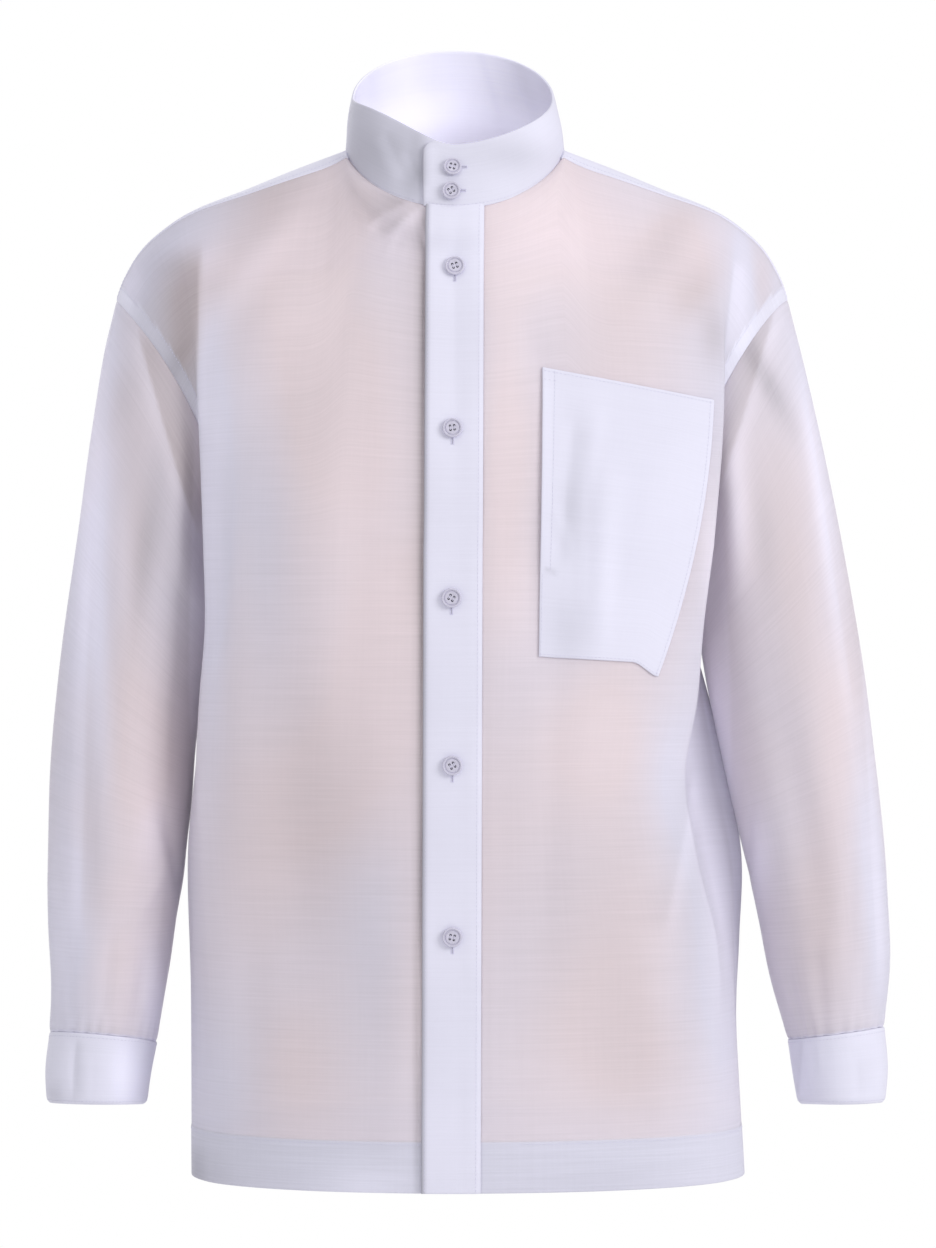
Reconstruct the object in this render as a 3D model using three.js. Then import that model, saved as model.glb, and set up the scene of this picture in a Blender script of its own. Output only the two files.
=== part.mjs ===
import * as THREE from 'three';

// Men's shirt with a stand collar, filled out as it is when worn.
// Millimetres. +Z is up, the front faces -Y, the wearer's left is +X.
// The origin is in the neck opening, level with the tops of the shoulder seams.

// ---- Driving dimensions ----
const CLOTH = 1.2;
const DOUBLED_CLOTH = 2.0;
const SEAM_GAP = 0.34;
const UNDERARM_Z = -290;
const HEM_Z = -745.5;
const HEM_TURNING = 36;
const ARMHOLE_DEPTH = 62;
const RIGHT = -1;
const LEFT = 1;
const FRONT = -1;
const BACK = 1;

// The neck seam: half sizes of its oval, and how far it drops in front and rises behind.
const NECK = { halfWidth: 79, front: 75, back: 62, drop: 49, rise: 25 };

// Below the neck seam its corner melts into the panel: how wide, as a share, and by what depth.
const NECK_MELT = { width: 0.19, depth: 0.2 };

// The collar's upper edge, and how far it swells up between the front and each side.
const COLLAR_RIM = { halfWidth: 73, front: 63, back: 60, middleZ: 39, tilt: 42, shiftX: -1.5 };
const RIM_SWELL = { right: 13, left: 3.5 };
const COLLAR_THICKNESS = 2.0;
const COLLAR_LAP = { left: 22, right: 18, cornerRadius: 14, step: 1.25 };

// The buttonhole band, which leans a little towards the wearer's right at the hem.
const PLACKET = {
  width: 41.5,
  topX: 0.4,
  hemX: -2.4,
  topHeight: 0.045,
  thickness: 1.5,
  lift: 0.4,
};
const BUTTON_STAND_SHARE = 0.88;

// Around the body a share of 0 is the centre line, 1 the side seam or armhole.
const NECK_SHARE = 0.32;
const CREST_SHARE = 0.7;
const CREST_ANGLE = THREE.MathUtils.degToRad(70);

// The shoulder line from the collar to the tip, before the wearer's left is scaled.
const SHOULDER_LINE = [
  { share: 0.32, x: 79, z: 0 },
  { share: 0.45, x: 118, z: -15 },
  { share: 0.57, x: 152, z: -29 },
  { share: 0.7, x: 190, z: -44 },
  { share: 0.79, x: 212, z: -58 },
  { share: 0.87, x: 229, z: -74 },
  { share: 0.94, x: 241, z: -94 },
  { share: 1, x: 247, z: -110 },
];

// Each armhole: its tip, its underarm, and how far its front and back edges bow inwards.
const ARMHOLE = {
  [RIGHT]: { tipX: 247, underarmX: 160, tipZ: -110, frontBow: 17, backBow: 6, bowPower: 2 },
  [LEFT]: { tipX: 243, underarmX: 160, tipZ: -110, frontBow: 18, backBow: 6, bowPower: 1.5 },
};

// Level sections below the underarm. crestX and crestY are where the panel's fold stands out, and
// dent is how far the stretch from the fold to the side seam lies inside a straight line.
const FRONT_SECTIONS = {
  [RIGHT]: [
    { z: -290, crestX: 180, crestY: 80, dent: 6 },
    { z: -345, crestX: 179, crestY: 78, dent: 6 },
    { z: -400, crestX: 183, crestY: 71, dent: 2 },
    { z: -455, crestX: 185, crestY: 65, dent: -2 },
    { z: -515, crestX: 182, crestY: 62, dent: -5 },
    { z: -613, crestX: 176, crestY: 61, dent: -5.5 },
    { z: -745.5, crestX: 175, crestY: 61, dent: -5.5 },
  ],
  [LEFT]: [
    { z: -290, crestX: 186, crestY: 80, dent: 10 },
    { z: -345, crestX: 179, crestY: 78, dent: 9 },
    { z: -400, crestX: 174, crestY: 77, dent: 11 },
    { z: -455, crestX: 165, crestY: 78, dent: 14 },
    { z: -515, crestX: 174, crestY: 72, dent: 11 },
    { z: -575, crestX: 188, crestY: 62, dent: 4 },
    { z: -640, crestX: 190, crestY: 59, dent: -4 },
    { z: -745.5, crestX: 193, crestY: 58, dent: -5.5 },
  ],
};
const BACK_SECTIONS = {
  [RIGHT]: [
    { z: -290, crestX: 176, crestY: 72, dent: 5 },
    { z: -350, crestX: 177, crestY: 70, dent: 5 },
    { z: -430, crestX: 180, crestY: 64, dent: 1 },
    { z: -520, crestX: 178, crestY: 60, dent: -4 },
    { z: -745.5, crestX: 174, crestY: 58, dent: -5.5 },
  ],
  [LEFT]: [
    { z: -290, crestX: 180, crestY: 72, dent: 5 },
    { z: -350, crestX: 178, crestY: 71, dent: 6 },
    { z: -430, crestX: 175, crestY: 69, dent: 8 },
    { z: -520, crestX: 182, crestY: 63, dent: 3 },
    { z: -620, crestX: 189, crestY: 58, dent: -4 },
    { z: -745.5, crestX: 192, crestY: 56, dent: -5.5 },
  ],
};
// How far the centre line stands from the middle, level by level.
const CENTRE_DEPTHS = {
  [FRONT]: [
    { z: -290, depth: 117 },
    { z: -345, depth: 118 },
    { z: -400, depth: 119 },
    { z: -455, depth: 120 },
    { z: -745.5, depth: 120 },
  ],
  [BACK]: [
    { z: -290, depth: 108 },
    { z: -350, depth: 108 },
    { z: -430, depth: 109 },
    { z: -520, depth: 110 },
    { z: -745.5, depth: 110 },
  ],
};
const SIDE_SEAMS = {
  [RIGHT]: [
    { z: -290, x: 160 },
    { z: -345, x: 167 },
    { z: -400, x: 178 },
    { z: -455, x: 187 },
    { z: -515, x: 193 },
    { z: -613, x: 192 },
    { z: -745.5, x: 191.5 },
  ],
  [LEFT]: [
    { z: -290, x: 160 },
    { z: -345, x: 171 },
    { z: -400, x: 186 },
    { z: -455, x: 199.5 },
    { z: -515, x: 209.5 },
    { z: -575, x: 208 },
    { z: -640, x: 205.5 },
    { z: -745.5, x: 211 },
  ],
};

// How full the panel is just below its upper edge, by share: larger is fuller.
const FULLNESS = [
  { share: 0, front: 1.35, back: 1.5 },
  { share: 0.32, front: 1.8, back: 1.85 },
  { share: 0.5, front: 2.15, back: 2.15 },
  { share: 1, front: 2.3, back: 2.3 },
];
const CREST_BOW = { [RIGHT]: 1, [LEFT]: 8 };

// Yoke seams, as heights in the upper rows: 0 is the shoulder line, 1 the underarm.
const FRONT_YOKE_SEAM = [
  { share: 0.25, height: 0 },
  { share: 0.32, height: 0.1 },
  { share: 0.42, height: 0.115 },
  { share: 0.7, height: 0.07 },
  { share: 1, height: 0.024 },
];
const BACK_YOKE_SEAM = [
  { share: 0, height: 0.38 },
  { share: 0.32, height: 0.35 },
  { share: 0.7, height: 0.29 },
  { share: 1, height: 0.16 },
];

// Sleeve rings from the armhole to the cuff: the outer and inner ends and the half depth.
const SLEEVE_RINGS = {
  [RIGHT]: [
    { outX: 247, outZ: -110, inX: 160, inZ: -290, depth: 62, frontBow: 17, backBow: 6 },
    { outX: 257, outZ: -153, inX: 166, inZ: -318, depth: 67, frontBow: 6, backBow: 3 },
    { outX: 267, outZ: -219, inX: 173, inZ: -350, depth: 69, frontBow: 2, backBow: 1 },
    { outX: 276, outZ: -285, inX: 183, inZ: -390, depth: 68, frontBow: 0, backBow: 0 },
    { outX: 288, outZ: -372, inX: 193, inZ: -440, depth: 66, frontBow: 0, backBow: 0 },
    { outX: 295, outZ: -450, inX: 198, inZ: -490, depth: 62, frontBow: 0, backBow: 0 },
    { outX: 297, outZ: -517, inX: 199.5, inZ: -530, depth: 58, frontBow: 0, backBow: 0 },
    { outX: 297, outZ: -560, inX: 204, inZ: -563, depth: 54, frontBow: 0, backBow: 0 },
    { outX: 295, outZ: -600, inX: 209.5, inZ: -601, depth: 49, frontBow: 0, backBow: 0 },
    { outX: 295.5, outZ: -644.5, inX: 218, inZ: -651.5, depth: 42, frontBow: 0, backBow: 0 },
  ],
  [LEFT]: [
    { outX: 243, outZ: -110, inX: 160, inZ: -290, depth: 62, frontBow: 18, backBow: 6 },
    { outX: 254, outZ: -153, inX: 169, inZ: -318, depth: 67, frontBow: 8, backBow: 3 },
    { outX: 269, outZ: -219, inX: 177, inZ: -347, depth: 69, frontBow: 3, backBow: 1 },
    { outX: 282, outZ: -285, inX: 185, inZ: -384, depth: 68, frontBow: 0, backBow: 0 },
    { outX: 297, outZ: -372, inX: 197.5, inZ: -437, depth: 66, frontBow: 0, backBow: 0 },
    { outX: 306, outZ: -440, inX: 207, inZ: -485, depth: 62, frontBow: 0, backBow: 0 },
    { outX: 313, outZ: -504, inX: 215, inZ: -525, depth: 58, frontBow: 0, backBow: 0 },
    { outX: 316, outZ: -547, inX: 222, inZ: -562, depth: 54, frontBow: 0, backBow: 0 },
    { outX: 317.5, outZ: -591, inX: 230, inZ: -603, depth: 49, frontBow: 0, backBow: 0 },
    { outX: 313, outZ: -640, inX: 243.5, inZ: -649.5, depth: 42, frontBow: 0, backBow: 0 },
  ],
};
const CUFF_RINGS = {
  [RIGHT]: [
    { outX: 295.5, outZ: -644.6, inX: 218, inZ: -651.6, depth: 42 },
    { outX: 298.5, outZ: -671, inX: 222.5, inZ: -675, depth: 41 },
    { outX: 297.5, outZ: -696, inX: 225.5, inZ: -697, depth: 40 },
  ],
  [LEFT]: [
    { outX: 313, outZ: -640.1, inX: 243.5, inZ: -649.6, depth: 42 },
    { outX: 315.5, outZ: -669, inX: 247, inZ: -674, depth: 41 },
    { outX: 313.5, outZ: -696, inX: 251, inZ: -697, depth: 40 },
  ],
};
const CUFF = { thickness: 2.0, lap: 20, step: 1.25, lapAngle: 232 };

// Soft folds on the sleeves. From and to are places along the sleeve (0 armhole, 1 cuff) and
// round it (degrees, 0 outer edge, 90 front, 180 inner edge, 270 back). A minus height is a trough.
const SLEEVE_FOLDS = [
  { side: RIGHT, from: 0.02, fromAngle: 122, to: 0.2, toAngle: 150, width: 20, height: -9 },
  { side: RIGHT, from: 0.0, fromAngle: 86, to: 0.24, toAngle: 118, width: 15, height: 5 },
  { side: RIGHT, from: 0.3, fromAngle: 60, to: 0.8, toAngle: 74, width: 15, height: -4 },
  { side: RIGHT, from: 0.3, fromAngle: 285, to: 0.75, toAngle: 262, width: 18, height: -4 },
  { side: LEFT, from: 0.02, fromAngle: 118, to: 0.28, toAngle: 152, width: 20, height: -9 },
  { side: LEFT, from: 0.0, fromAngle: 84, to: 0.26, toAngle: 120, width: 15, height: 5 },
  { side: LEFT, from: 0.35, fromAngle: 108, to: 0.85, toAngle: 96, width: 16, height: -4 },
  { side: LEFT, from: 0.25, fromAngle: 250, to: 0.7, toAngle: 282, width: 18, height: -5 },
];
const SLEEVE_SPAN = 430;
const SLEEVE_RADIUS = 55;

// Soft folds on the body, in the level plane seen from the front or the back.
const BODY_FOLDS = [
  { face: FRONT, fromX: -120, fromZ: -330, toX: -104, toZ: -700, width: 26, height: -3 },
  { face: FRONT, fromX: 118, fromZ: -430, toX: 96, toZ: -720, width: 26, height: -3.5 },
  { face: BACK, fromX: -96, fromZ: -150, toX: -112, toZ: -620, width: 28, height: -5 },
  { face: BACK, fromX: 84, fromZ: -140, toX: 108, toZ: -560, width: 28, height: -4 },
  { face: BACK, fromX: 6, fromZ: -260, toX: -14, toZ: -700, width: 30, height: -3 },
];

// Pocket outline, as level (x, z) places seen from the front.
const POCKET = {
  topInner: [61.9, -164.8],
  topOuter: [184, -187],
  outerMiddle: [172, -276],
  bottomOuter: [143.6, -383],
  bottomInner: [59, -369],
  point: 9,
  lift: 0.6,
  thickness: 1.2,
};

const BUTTON = { radius: 7, thickness: 3.2, rim: 1.5, dish: 0.9 };
const COLLAR_BUTTON = { radius: 6.5, thickness: 3.0, rim: 1.4, dish: 0.8 };
const FRONT_BUTTONS = [
  { x: -0.3, z: -92.9 },
  { x: -1.7, z: -208.6 },
  { x: -2.1, z: -327.8 },
  { x: -1.5, z: -445.2 },
  { x: -1.5, z: -565.4 },
];
const COLLAR_BUTTONS = [
  { x: -0.6, height: 0.62 },
  { x: -2.0, height: 0.24 },
];
const BUTTON_SEAT = 0.35;

// ---- Sampling ----
const UPPER_ROWS = 11;
const BACK_ROWS = 8;
const YOKE_ROWS = 4;
const LOWER_ROWS = 11;
const SLEEVE_ROWS = 15;
const NECK_COLUMNS = 4;
const OUTER_SHARES = [0.385, 0.45, 0.53, 0.615, 0.7, 0.745, 0.8, 0.86, 0.93, 1];

// ---- Materials ----
const clothMaterial = () => new THREE.MeshStandardMaterial({
  color: 0xd6cedb,
  roughness: 0.75,
  metalness: 0,
});
const doubledMaterial = () => new THREE.MeshStandardMaterial({
  color: 0xe0e0f2,
  roughness: 0.7,
  metalness: 0,
});
const buttonMaterial = () => new THREE.MeshStandardMaterial({
  color: 0xd9d3e2,
  roughness: 0.3,
  metalness: 0,
});

// ---- Small helpers ----
const { lerp, clamp, degToRad } = THREE.MathUtils;

const eased = (t) => t * t * (3 - 2 * t);

// A smooth value from a table: cubic between rows, with each row's slope from its neighbours.
function tableValue(table, key, at, column) {
  const rising = table[table.length - 1][key] > table[0][key];
  const inside = rising
    ? clamp(at, table[0][key], table[table.length - 1][key])
    : clamp(at, table[table.length - 1][key], table[0][key]);
  let i = 0;
  while (i < table.length - 2 && (rising ? inside > table[i + 1][key] : inside < table[i + 1][key])) {
    i += 1;
  }
  const slope = (j) => {
    const before = table[Math.max(j - 1, 0)];
    const after = table[Math.min(j + 1, table.length - 1)];
    return (after[column] - before[column]) / (after[key] - before[key]);
  };
  const a = table[i];
  const b = table[i + 1];
  const span = b[key] - a[key];
  const t = (inside - a[key]) / span;
  const rise = t * t * (3 - 2 * t);
  const leaving = t * (1 - t) * (1 - t) * span * slope(i);
  const arriving = t * t * (t - 1) * span * slope(i + 1);
  return a[column] + (b[column] - a[column]) * rise + leaving + arriving;
}

// How much a soft fold lifts or sinks a place, given in level units along and across.
function foldHeight(u, v, fold) {
  const runU = fold.toU - fold.fromU;
  const runV = fold.toV - fold.fromV;
  const length = Math.hypot(runU, runV);
  const along = ((u - fold.fromU) * runU + (v - fold.fromV) * runV) / (length * length);
  const across = ((u - fold.fromU) * runV - (v - fold.fromV) * runU) / length;
  const taper = along < 0 || along > 1 ? 0 : Math.sin(Math.PI * along) ** 0.8;
  return fold.height * taper * Math.exp(-((across / fold.width) ** 2));
}

// ---- The body's form ----
function shoulderPoint(side, share) {
  const scale = ARMHOLE[side].tipX / ARMHOLE[RIGHT].tipX;
  const out = clamp((share - NECK_SHARE) / (1 - NECK_SHARE), 0, 1);
  const x = tableValue(SHOULDER_LINE, 'share', share, 'x') * lerp(1, scale, out);
  return new THREE.Vector3(side * x, 0, tableValue(SHOULDER_LINE, 'share', share, 'z'));
}

function neckPoint(face, side, share) {
  const angle = (share / NECK_SHARE) * (Math.PI / 2);
  const forward = Math.cos(angle);
  const y = face === FRONT ? -NECK.front * forward : NECK.back * forward;
  const z = face === FRONT ? -NECK.drop * forward ** 1.25 : NECK.rise * forward ** 1.1;
  return new THREE.Vector3(side * NECK.halfWidth * Math.sin(angle), y, z);
}

// The panel's upper edge, mirrored past the centre line.
function topPoint(face, side, share) {
  if (share < 0) return topPoint(face, side, -share).multiply(new THREE.Vector3(-1, 1, 1));
  return share < NECK_SHARE ? neckPoint(face, side, share) : shoulderPoint(side, share);
}

// The upper edge as the cloth below it follows it: softer the lower the place lies.
function meltedTop(face, side, share, drop) {
  const width = NECK_MELT.width * eased(clamp(drop / NECK_MELT.depth, 0, 1));
  const sum = new THREE.Vector3();
  let total = 0;
  for (let step = -1.5; step <= 1.5; step += 0.5) {
    const weight = Math.exp(-step * step);
    sum.addScaledVector(topPoint(face, side, share + step * width), weight);
    total += weight;
  }
  return sum.divideScalar(total);
}

function armholePoint(face, side, height) {
  const hole = ARMHOLE[side];
  const turn = Math.PI * height;
  return ringPoint(
    {
      outX: hole.tipX,
      outZ: hole.tipZ,
      inX: hole.underarmX,
      inZ: UNDERARM_Z,
      depth: ARMHOLE_DEPTH,
      frontBow: hole.frontBow,
      backBow: hole.backBow,
    },
    side,
    face === FRONT ? turn : 2 * Math.PI - turn,
  );
}

// A place on a slanted oval ring: 0 its outer end, 180 degrees its inner end, 90 its front.
function ringPoint(ring, side, angle) {
  const isFront = angle <= Math.PI;
  const middleX = (ring.outX + ring.inX) / 2;
  const middleZ = (ring.outZ + ring.inZ) / 2;
  const halfX = (ring.outX - ring.inX) / 2;
  const halfZ = (ring.outZ - ring.inZ) / 2;
  const length = Math.hypot(halfX, halfZ);
  const power = isFront ? ARMHOLE[side].bowPower : 2;
  const bow = (isFront ? ring.frontBow : ring.backBow) * Math.abs(Math.sin(angle)) ** power;
  const x = middleX + halfX * Math.cos(angle) - (bow * halfZ) / length;
  const z = middleZ + halfZ * Math.cos(angle) + (bow * halfX) / length;
  return new THREE.Vector3(side * x, -ring.depth * Math.sin(angle), z);
}

function sectionPoint(face, side, share, z) {
  const table = face === FRONT ? FRONT_SECTIONS[side] : BACK_SECTIONS[side];
  const crestX = tableValue(table, 'z', z, 'crestX');
  const crestY = tableValue(table, 'z', z, 'crestY');
  const depth = tableValue(CENTRE_DEPTHS[face], 'z', z, 'depth');
  if (share <= CREST_SHARE) {
    const angle = (share / CREST_SHARE) * CREST_ANGLE;
    const full = (Math.cos(angle) - Math.cos(CREST_ANGLE)) / (1 - Math.cos(CREST_ANGLE));
    const x = (crestX * Math.sin(angle)) / Math.sin(CREST_ANGLE);
    return new THREE.Vector3(side * x, face * (crestY + (depth - crestY) * full), z);
  }
  const seamX = tableValue(SIDE_SEAMS[side], 'z', z, 'x');
  const t = (share - CREST_SHARE) / (1 - CREST_SHARE);
  const dent = dentOffset(face, side, z, t);
  const x = lerp(crestX, seamX, t) - dent.x;
  return new THREE.Vector3(side * x, face * (crestY * (1 - t) - dent.y), z);
}

// The dent between fold and side seam, square to the straight line that joins them.
function dentOffset(face, side, z, t) {
  const table = face === FRONT ? FRONT_SECTIONS[side] : BACK_SECTIONS[side];
  const crestX = tableValue(table, 'z', z, 'crestX');
  const crestY = tableValue(table, 'z', z, 'crestY');
  const seamX = tableValue(SIDE_SEAMS[side], 'z', z, 'x');
  const length = Math.hypot(crestY, seamX - crestX);
  const depth = tableValue(table, 'z', z, 'dent') * Math.sin(Math.PI * t);
  return { x: (depth * crestY) / length, y: (depth * (seamX - crestX)) / length };
}

// A place on the upper body: height 0 is the neck seam or shoulder line, 1 the underarm level.
function upperPoint(face, side, share, height) {
  const drop = (1 - Math.cos(Math.PI * height)) / 2;
  if (share > CREST_SHARE) {
    const t = (share - CREST_SHARE) / (1 - CREST_SHARE);
    const crest = upperPoint(face, side, CREST_SHARE, height);
    const edge = armholePoint(face, side, height);
    const chord = shoulderPoint(side, CREST_SHARE).lerp(shoulderPoint(side, 1), t);
    const round = shoulderPoint(side, share).sub(chord).multiplyScalar((1 - drop) ** 3);
    const dent = dentOffset(face, side, UNDERARM_Z, t);
    const point = crest.lerp(edge, t).add(round);
    point.x -= side * dent.x * drop;
    point.y -= face * dent.y * drop;
    return point;
  }
  const top = meltedTop(face, side, share, drop);
  const bottom = sectionPoint(face, side, share, UNDERARM_Z);
  const power = tableValue(FULLNESS, 'share', share, face === FRONT ? 'front' : 'back');
  const full = (1 - (1 - drop) ** power) ** (1 / power);
  const bow = CREST_BOW[side] * Math.sin(Math.PI * drop) * (share / CREST_SHARE) ** 2;
  return new THREE.Vector3(
    lerp(top.x, bottom.x, drop) + side * bow,
    lerp(top.y, bottom.y, full),
    lerp(top.z, bottom.z, drop),
  );
}

// The whole body: heights 0 to 1 as above, 1 to 2 from the underarm to the hem.
function bodyPoint(face, side, share, height) {
  const point = height <= 1
    ? upperPoint(face, side, share, height)
    : sectionPoint(face, side, share, lerp(UNDERARM_Z, HEM_Z, height - 1));
  const inner = 1 - eased(clamp((share - 0.55) / 0.15, 0, 1));
  for (const fold of BODY_FOLDS) {
    if (fold.face === face) {
      const rise = foldHeight(point.x, point.z, {
        fromU: fold.fromX,
        fromV: fold.fromZ,
        toU: fold.toX,
        toV: fold.toZ,
        width: fold.width,
        height: fold.height,
      });
      point.y += face * rise * inner;
    }
  }
  return point;
}

// The share at which a row of the front reaches a given distance from the centre.
function shareAtX(face, x, height) {
  const side = x < 0 ? RIGHT : LEFT;
  let low = 0;
  let high = CREST_SHARE;
  for (let i = 0; i < 30; i += 1) {
    const middle = (low + high) / 2;
    if (Math.abs(bodyPoint(face, side, middle, height).x) < Math.abs(x)) low = middle;
    else high = middle;
  }
  return (low + high) / 2;
}

// The place on the front panel seen at a level (x, z), with its outward direction.
function frontAt(x, z) {
  const side = x < 0 ? RIGHT : LEFT;
  let low = 0;
  let high = 2;
  for (let i = 0; i < 30; i += 1) {
    const middle = (low + high) / 2;
    if (bodyPoint(FRONT, side, shareAtX(FRONT, x, middle), middle).z > z) low = middle;
    else high = middle;
  }
  const share = shareAtX(FRONT, x, low);
  return { point: bodyPoint(FRONT, side, share, low), normal: bodyNormal(FRONT, side, share, low) };
}

function bodyNormal(face, side, share, height) {
  const step = 0.004;
  const across = bodyPoint(face, side, Math.min(share + step, 1), height)
    .sub(bodyPoint(face, side, Math.max(share - step, 0), height));
  const down = bodyPoint(face, side, share, Math.min(height + step, 2))
    .sub(bodyPoint(face, side, share, Math.max(height - step, 0)));
  return across.cross(down).multiplyScalar(side * face).normalize();
}

// ---- The sleeves' form ----
function sleevePoint(side, along, angle) {
  const table = SLEEVE_RINGS[side].map((row, i, all) => ({ ...row, place: i / (all.length - 1) }));
  const value = (column) => tableValue(table, 'place', along, column);
  const ring = {
    outX: value('outX'),
    outZ: value('outZ'),
    inX: value('inX'),
    inZ: value('inZ'),
    depth: value('depth'),
    frontBow: value('frontBow'),
    backBow: value('backBow'),
  };
  const point = ringPoint(ring, side, angle);
  const middle = new THREE.Vector3(
    (side * (ring.outX + ring.inX)) / 2,
    0,
    (ring.outZ + ring.inZ) / 2,
  );
  let rise = 0;
  for (const fold of SLEEVE_FOLDS) {
    if (fold.side === side) {
      rise += foldHeight(angle * SLEEVE_RADIUS, along * SLEEVE_SPAN, {
        fromU: degToRad(fold.fromAngle) * SLEEVE_RADIUS,
        fromV: fold.from * SLEEVE_SPAN,
        toU: degToRad(fold.toAngle) * SLEEVE_RADIUS,
        toV: fold.to * SLEEVE_SPAN,
        width: fold.width,
        height: fold.height,
      });
    }
  }
  const fade = eased(clamp(along / 0.08, 0, 1)) * eased(clamp((1 - along) / 0.1, 0, 1));
  return point.add(point.clone().sub(middle).normalize().multiplyScalar(rise * fade));
}

// ---- Sheets: points joined by quads, later thickened into walls ----
const pointKey = (p) => p.toArray().map((v) => Math.round(v * 1000 + 0.3)).join();

// A sheet from a grid of places. flip turns its outward face over.
function gridSheet(rows, columns, place, flip) {
  const points = [];
  for (let r = 0; r <= rows; r += 1) {
    for (let c = 0; c <= columns; c += 1) points.push(place(r, c));
  }
  const quads = [];
  for (let r = 0; r < rows; r += 1) {
    for (let c = 0; c < columns; c += 1) {
      const a = r * (columns + 1) + c;
      const b = a + 1;
      const d = a + columns + 1;
      quads.push(flip ? [a, b, d + 1, d] : [a, d, d + 1, b]);
    }
  }
  return weldSheets([{ points, quads }]);
}

function weldSheets(sheets) {
  const points = [];
  const quads = [];
  const places = new Map();
  for (const sheet of sheets) {
    const renamed = sheet.points.map((point) => {
      const key = pointKey(point);
      if (!places.has(key)) {
        places.set(key, points.length);
        points.push(point);
      }
      return places.get(key);
    });
    for (const quad of sheet.quads) quads.push(quad.map((i) => renamed[i]));
  }
  return { points, quads };
}

// Outward directions shared by every sheet that meets at a place, so that seams line up.
function sharedNormals(sheets) {
  const normals = new Map();
  for (const { points, quads } of sheets) {
    for (const [a, b, c, d] of quads) {
      const first = points[c].clone().sub(points[a]);
      const area = first.cross(points[d].clone().sub(points[b]));
      for (const i of [a, b, c, d]) {
        const key = pointKey(points[i]);
        if (!normals.has(key)) normals.set(key, new THREE.Vector3());
        normals.get(key).add(area);
      }
    }
  }
  for (const normal of normals.values()) normal.normalize();
  return normals;
}

// The directed edges that only one quad has.
function borderEdges(quads) {
  const edges = new Map();
  for (const quad of quads) {
    quad.forEach((from, i) => {
      const to = quad[(i + 1) % quad.length];
      const back = `${to}_${from}`;
      if (edges.has(back)) edges.delete(back);
      else edges.set(`${from}_${to}`, [from, to]);
    });
  }
  return [...edges.values()];
}

// Draws a sheet's border in by half of the seam gap.
function drawnIn({ points, quads }, border) {
  const onBorder = new Set(border.flat());
  const inward = new Map();
  for (const quad of quads) {
    const middle = quad.reduce((sum, i) => sum.add(points[i]), new THREE.Vector3()).divideScalar(4);
    for (const i of quad) {
      if (onBorder.has(i)) {
        if (!inward.has(i)) inward.set(i, new THREE.Vector3());
        inward.get(i).add(middle.clone().sub(points[i]).normalize());
      }
    }
  }
  return points.map((point, i) => {
    if (!inward.has(i)) return point.clone();
    return point.clone().add(inward.get(i).normalize().multiplyScalar(SEAM_GAP / 2));
  });
}

// A closed wall on a sheet. lift is how far its outer face stands off the sheet.
function wall(name, sheet, material, { normals, lift = 0, thickness = CLOTH }) {
  const border = borderEdges(sheet.quads);
  const points = drawnIn(sheet, border);
  const directions = sheet.points.map((point) => normals.get(pointKey(point)));
  const depth = typeof thickness === 'function' ? thickness : () => thickness;
  const outer = points.map((point, i) => point.clone().addScaledVector(directions[i], lift));
  const inner = points.map((point, i) => (
    point.clone().addScaledVector(directions[i], lift - depth(sheet.points[i]))
  ));
  const count = points.length;
  const triangles = [];
  for (const [a, b, c, d] of sheet.quads) {
    triangles.push(a, b, c, a, c, d);
    triangles.push(count + a, count + c, count + b, count + a, count + d, count + c);
  }
  for (const [a, b] of border) {
    triangles.push(b, a, count + a, b, count + a, count + b);
  }
  const geometry = new THREE.BufferGeometry();
  const numbers = [...outer, ...inner].flatMap((p) => p.toArray());
  geometry.setAttribute('position', new THREE.Float32BufferAttribute(numbers, 3));
  geometry.setIndex(triangles);
  geometry.computeVertexNormals();
  return namedMesh(name, geometry, material);
}

function namedMesh(name, geometry, material) {
  const mesh = new THREE.Mesh(geometry, material);
  mesh.name = name;
  return mesh;
}

// ---- Body sheets ----
const frontSeamHeight = (share) => (
  share <= FRONT_YOKE_SEAM[0].share ? 0 : tableValue(FRONT_YOKE_SEAM, 'share', share, 'height')
);
const backSeamHeight = (share) => tableValue(BACK_YOKE_SEAM, 'share', share, 'height');

// Row heights: the upper rows run from a seam to the underarm, the lower ones to the hem.
const hemTopHeight = 2 - HEM_TURNING / (UNDERARM_Z - HEM_Z);
const lowerHeights = [];
for (let i = 1; i <= LOWER_ROWS; i += 1) lowerHeights.push(lerp(1, hemTopHeight, i / LOWER_ROWS));
lowerHeights.push(hemTopHeight + 0.003, (hemTopHeight + 2) / 2, 2);

const rowHeight = (row, upperRows, top) => (
  row <= upperRows ? lerp(top, 1, row / upperRows) : lowerHeights[row - upperRows - 1]
);

const placketCentre = (height) => lerp(PLACKET.topX, PLACKET.hemX, clamp(height / 2, 0, 1));
const placketEdgeX = (height, edge) => placketCentre(height) + (edge * PLACKET.width) / 2;

// Shares of the columns: even ones from a starting share to the neck, then the fixed ones.
function columnShare(column, start) {
  if (column <= NECK_COLUMNS) return lerp(start, NECK_SHARE, column / NECK_COLUMNS);
  return OUTER_SHARES[column - NECK_COLUMNS - 1];
}
const COLUMNS = NECK_COLUMNS + OUTER_SHARES.length;

function panelSheet(face, side, upperRows, startShare, seamHeight) {
  const rows = upperRows + lowerHeights.length;
  const place = (row, column) => {
    const guess = rowHeight(row, upperRows, 0);
    const share = columnShare(column, startShare(guess));
    return bodyPoint(face, side, share, rowHeight(row, upperRows, seamHeight(share)));
  };
  return gridSheet(rows, COLUMNS, place, face * side > 0);
}

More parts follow.
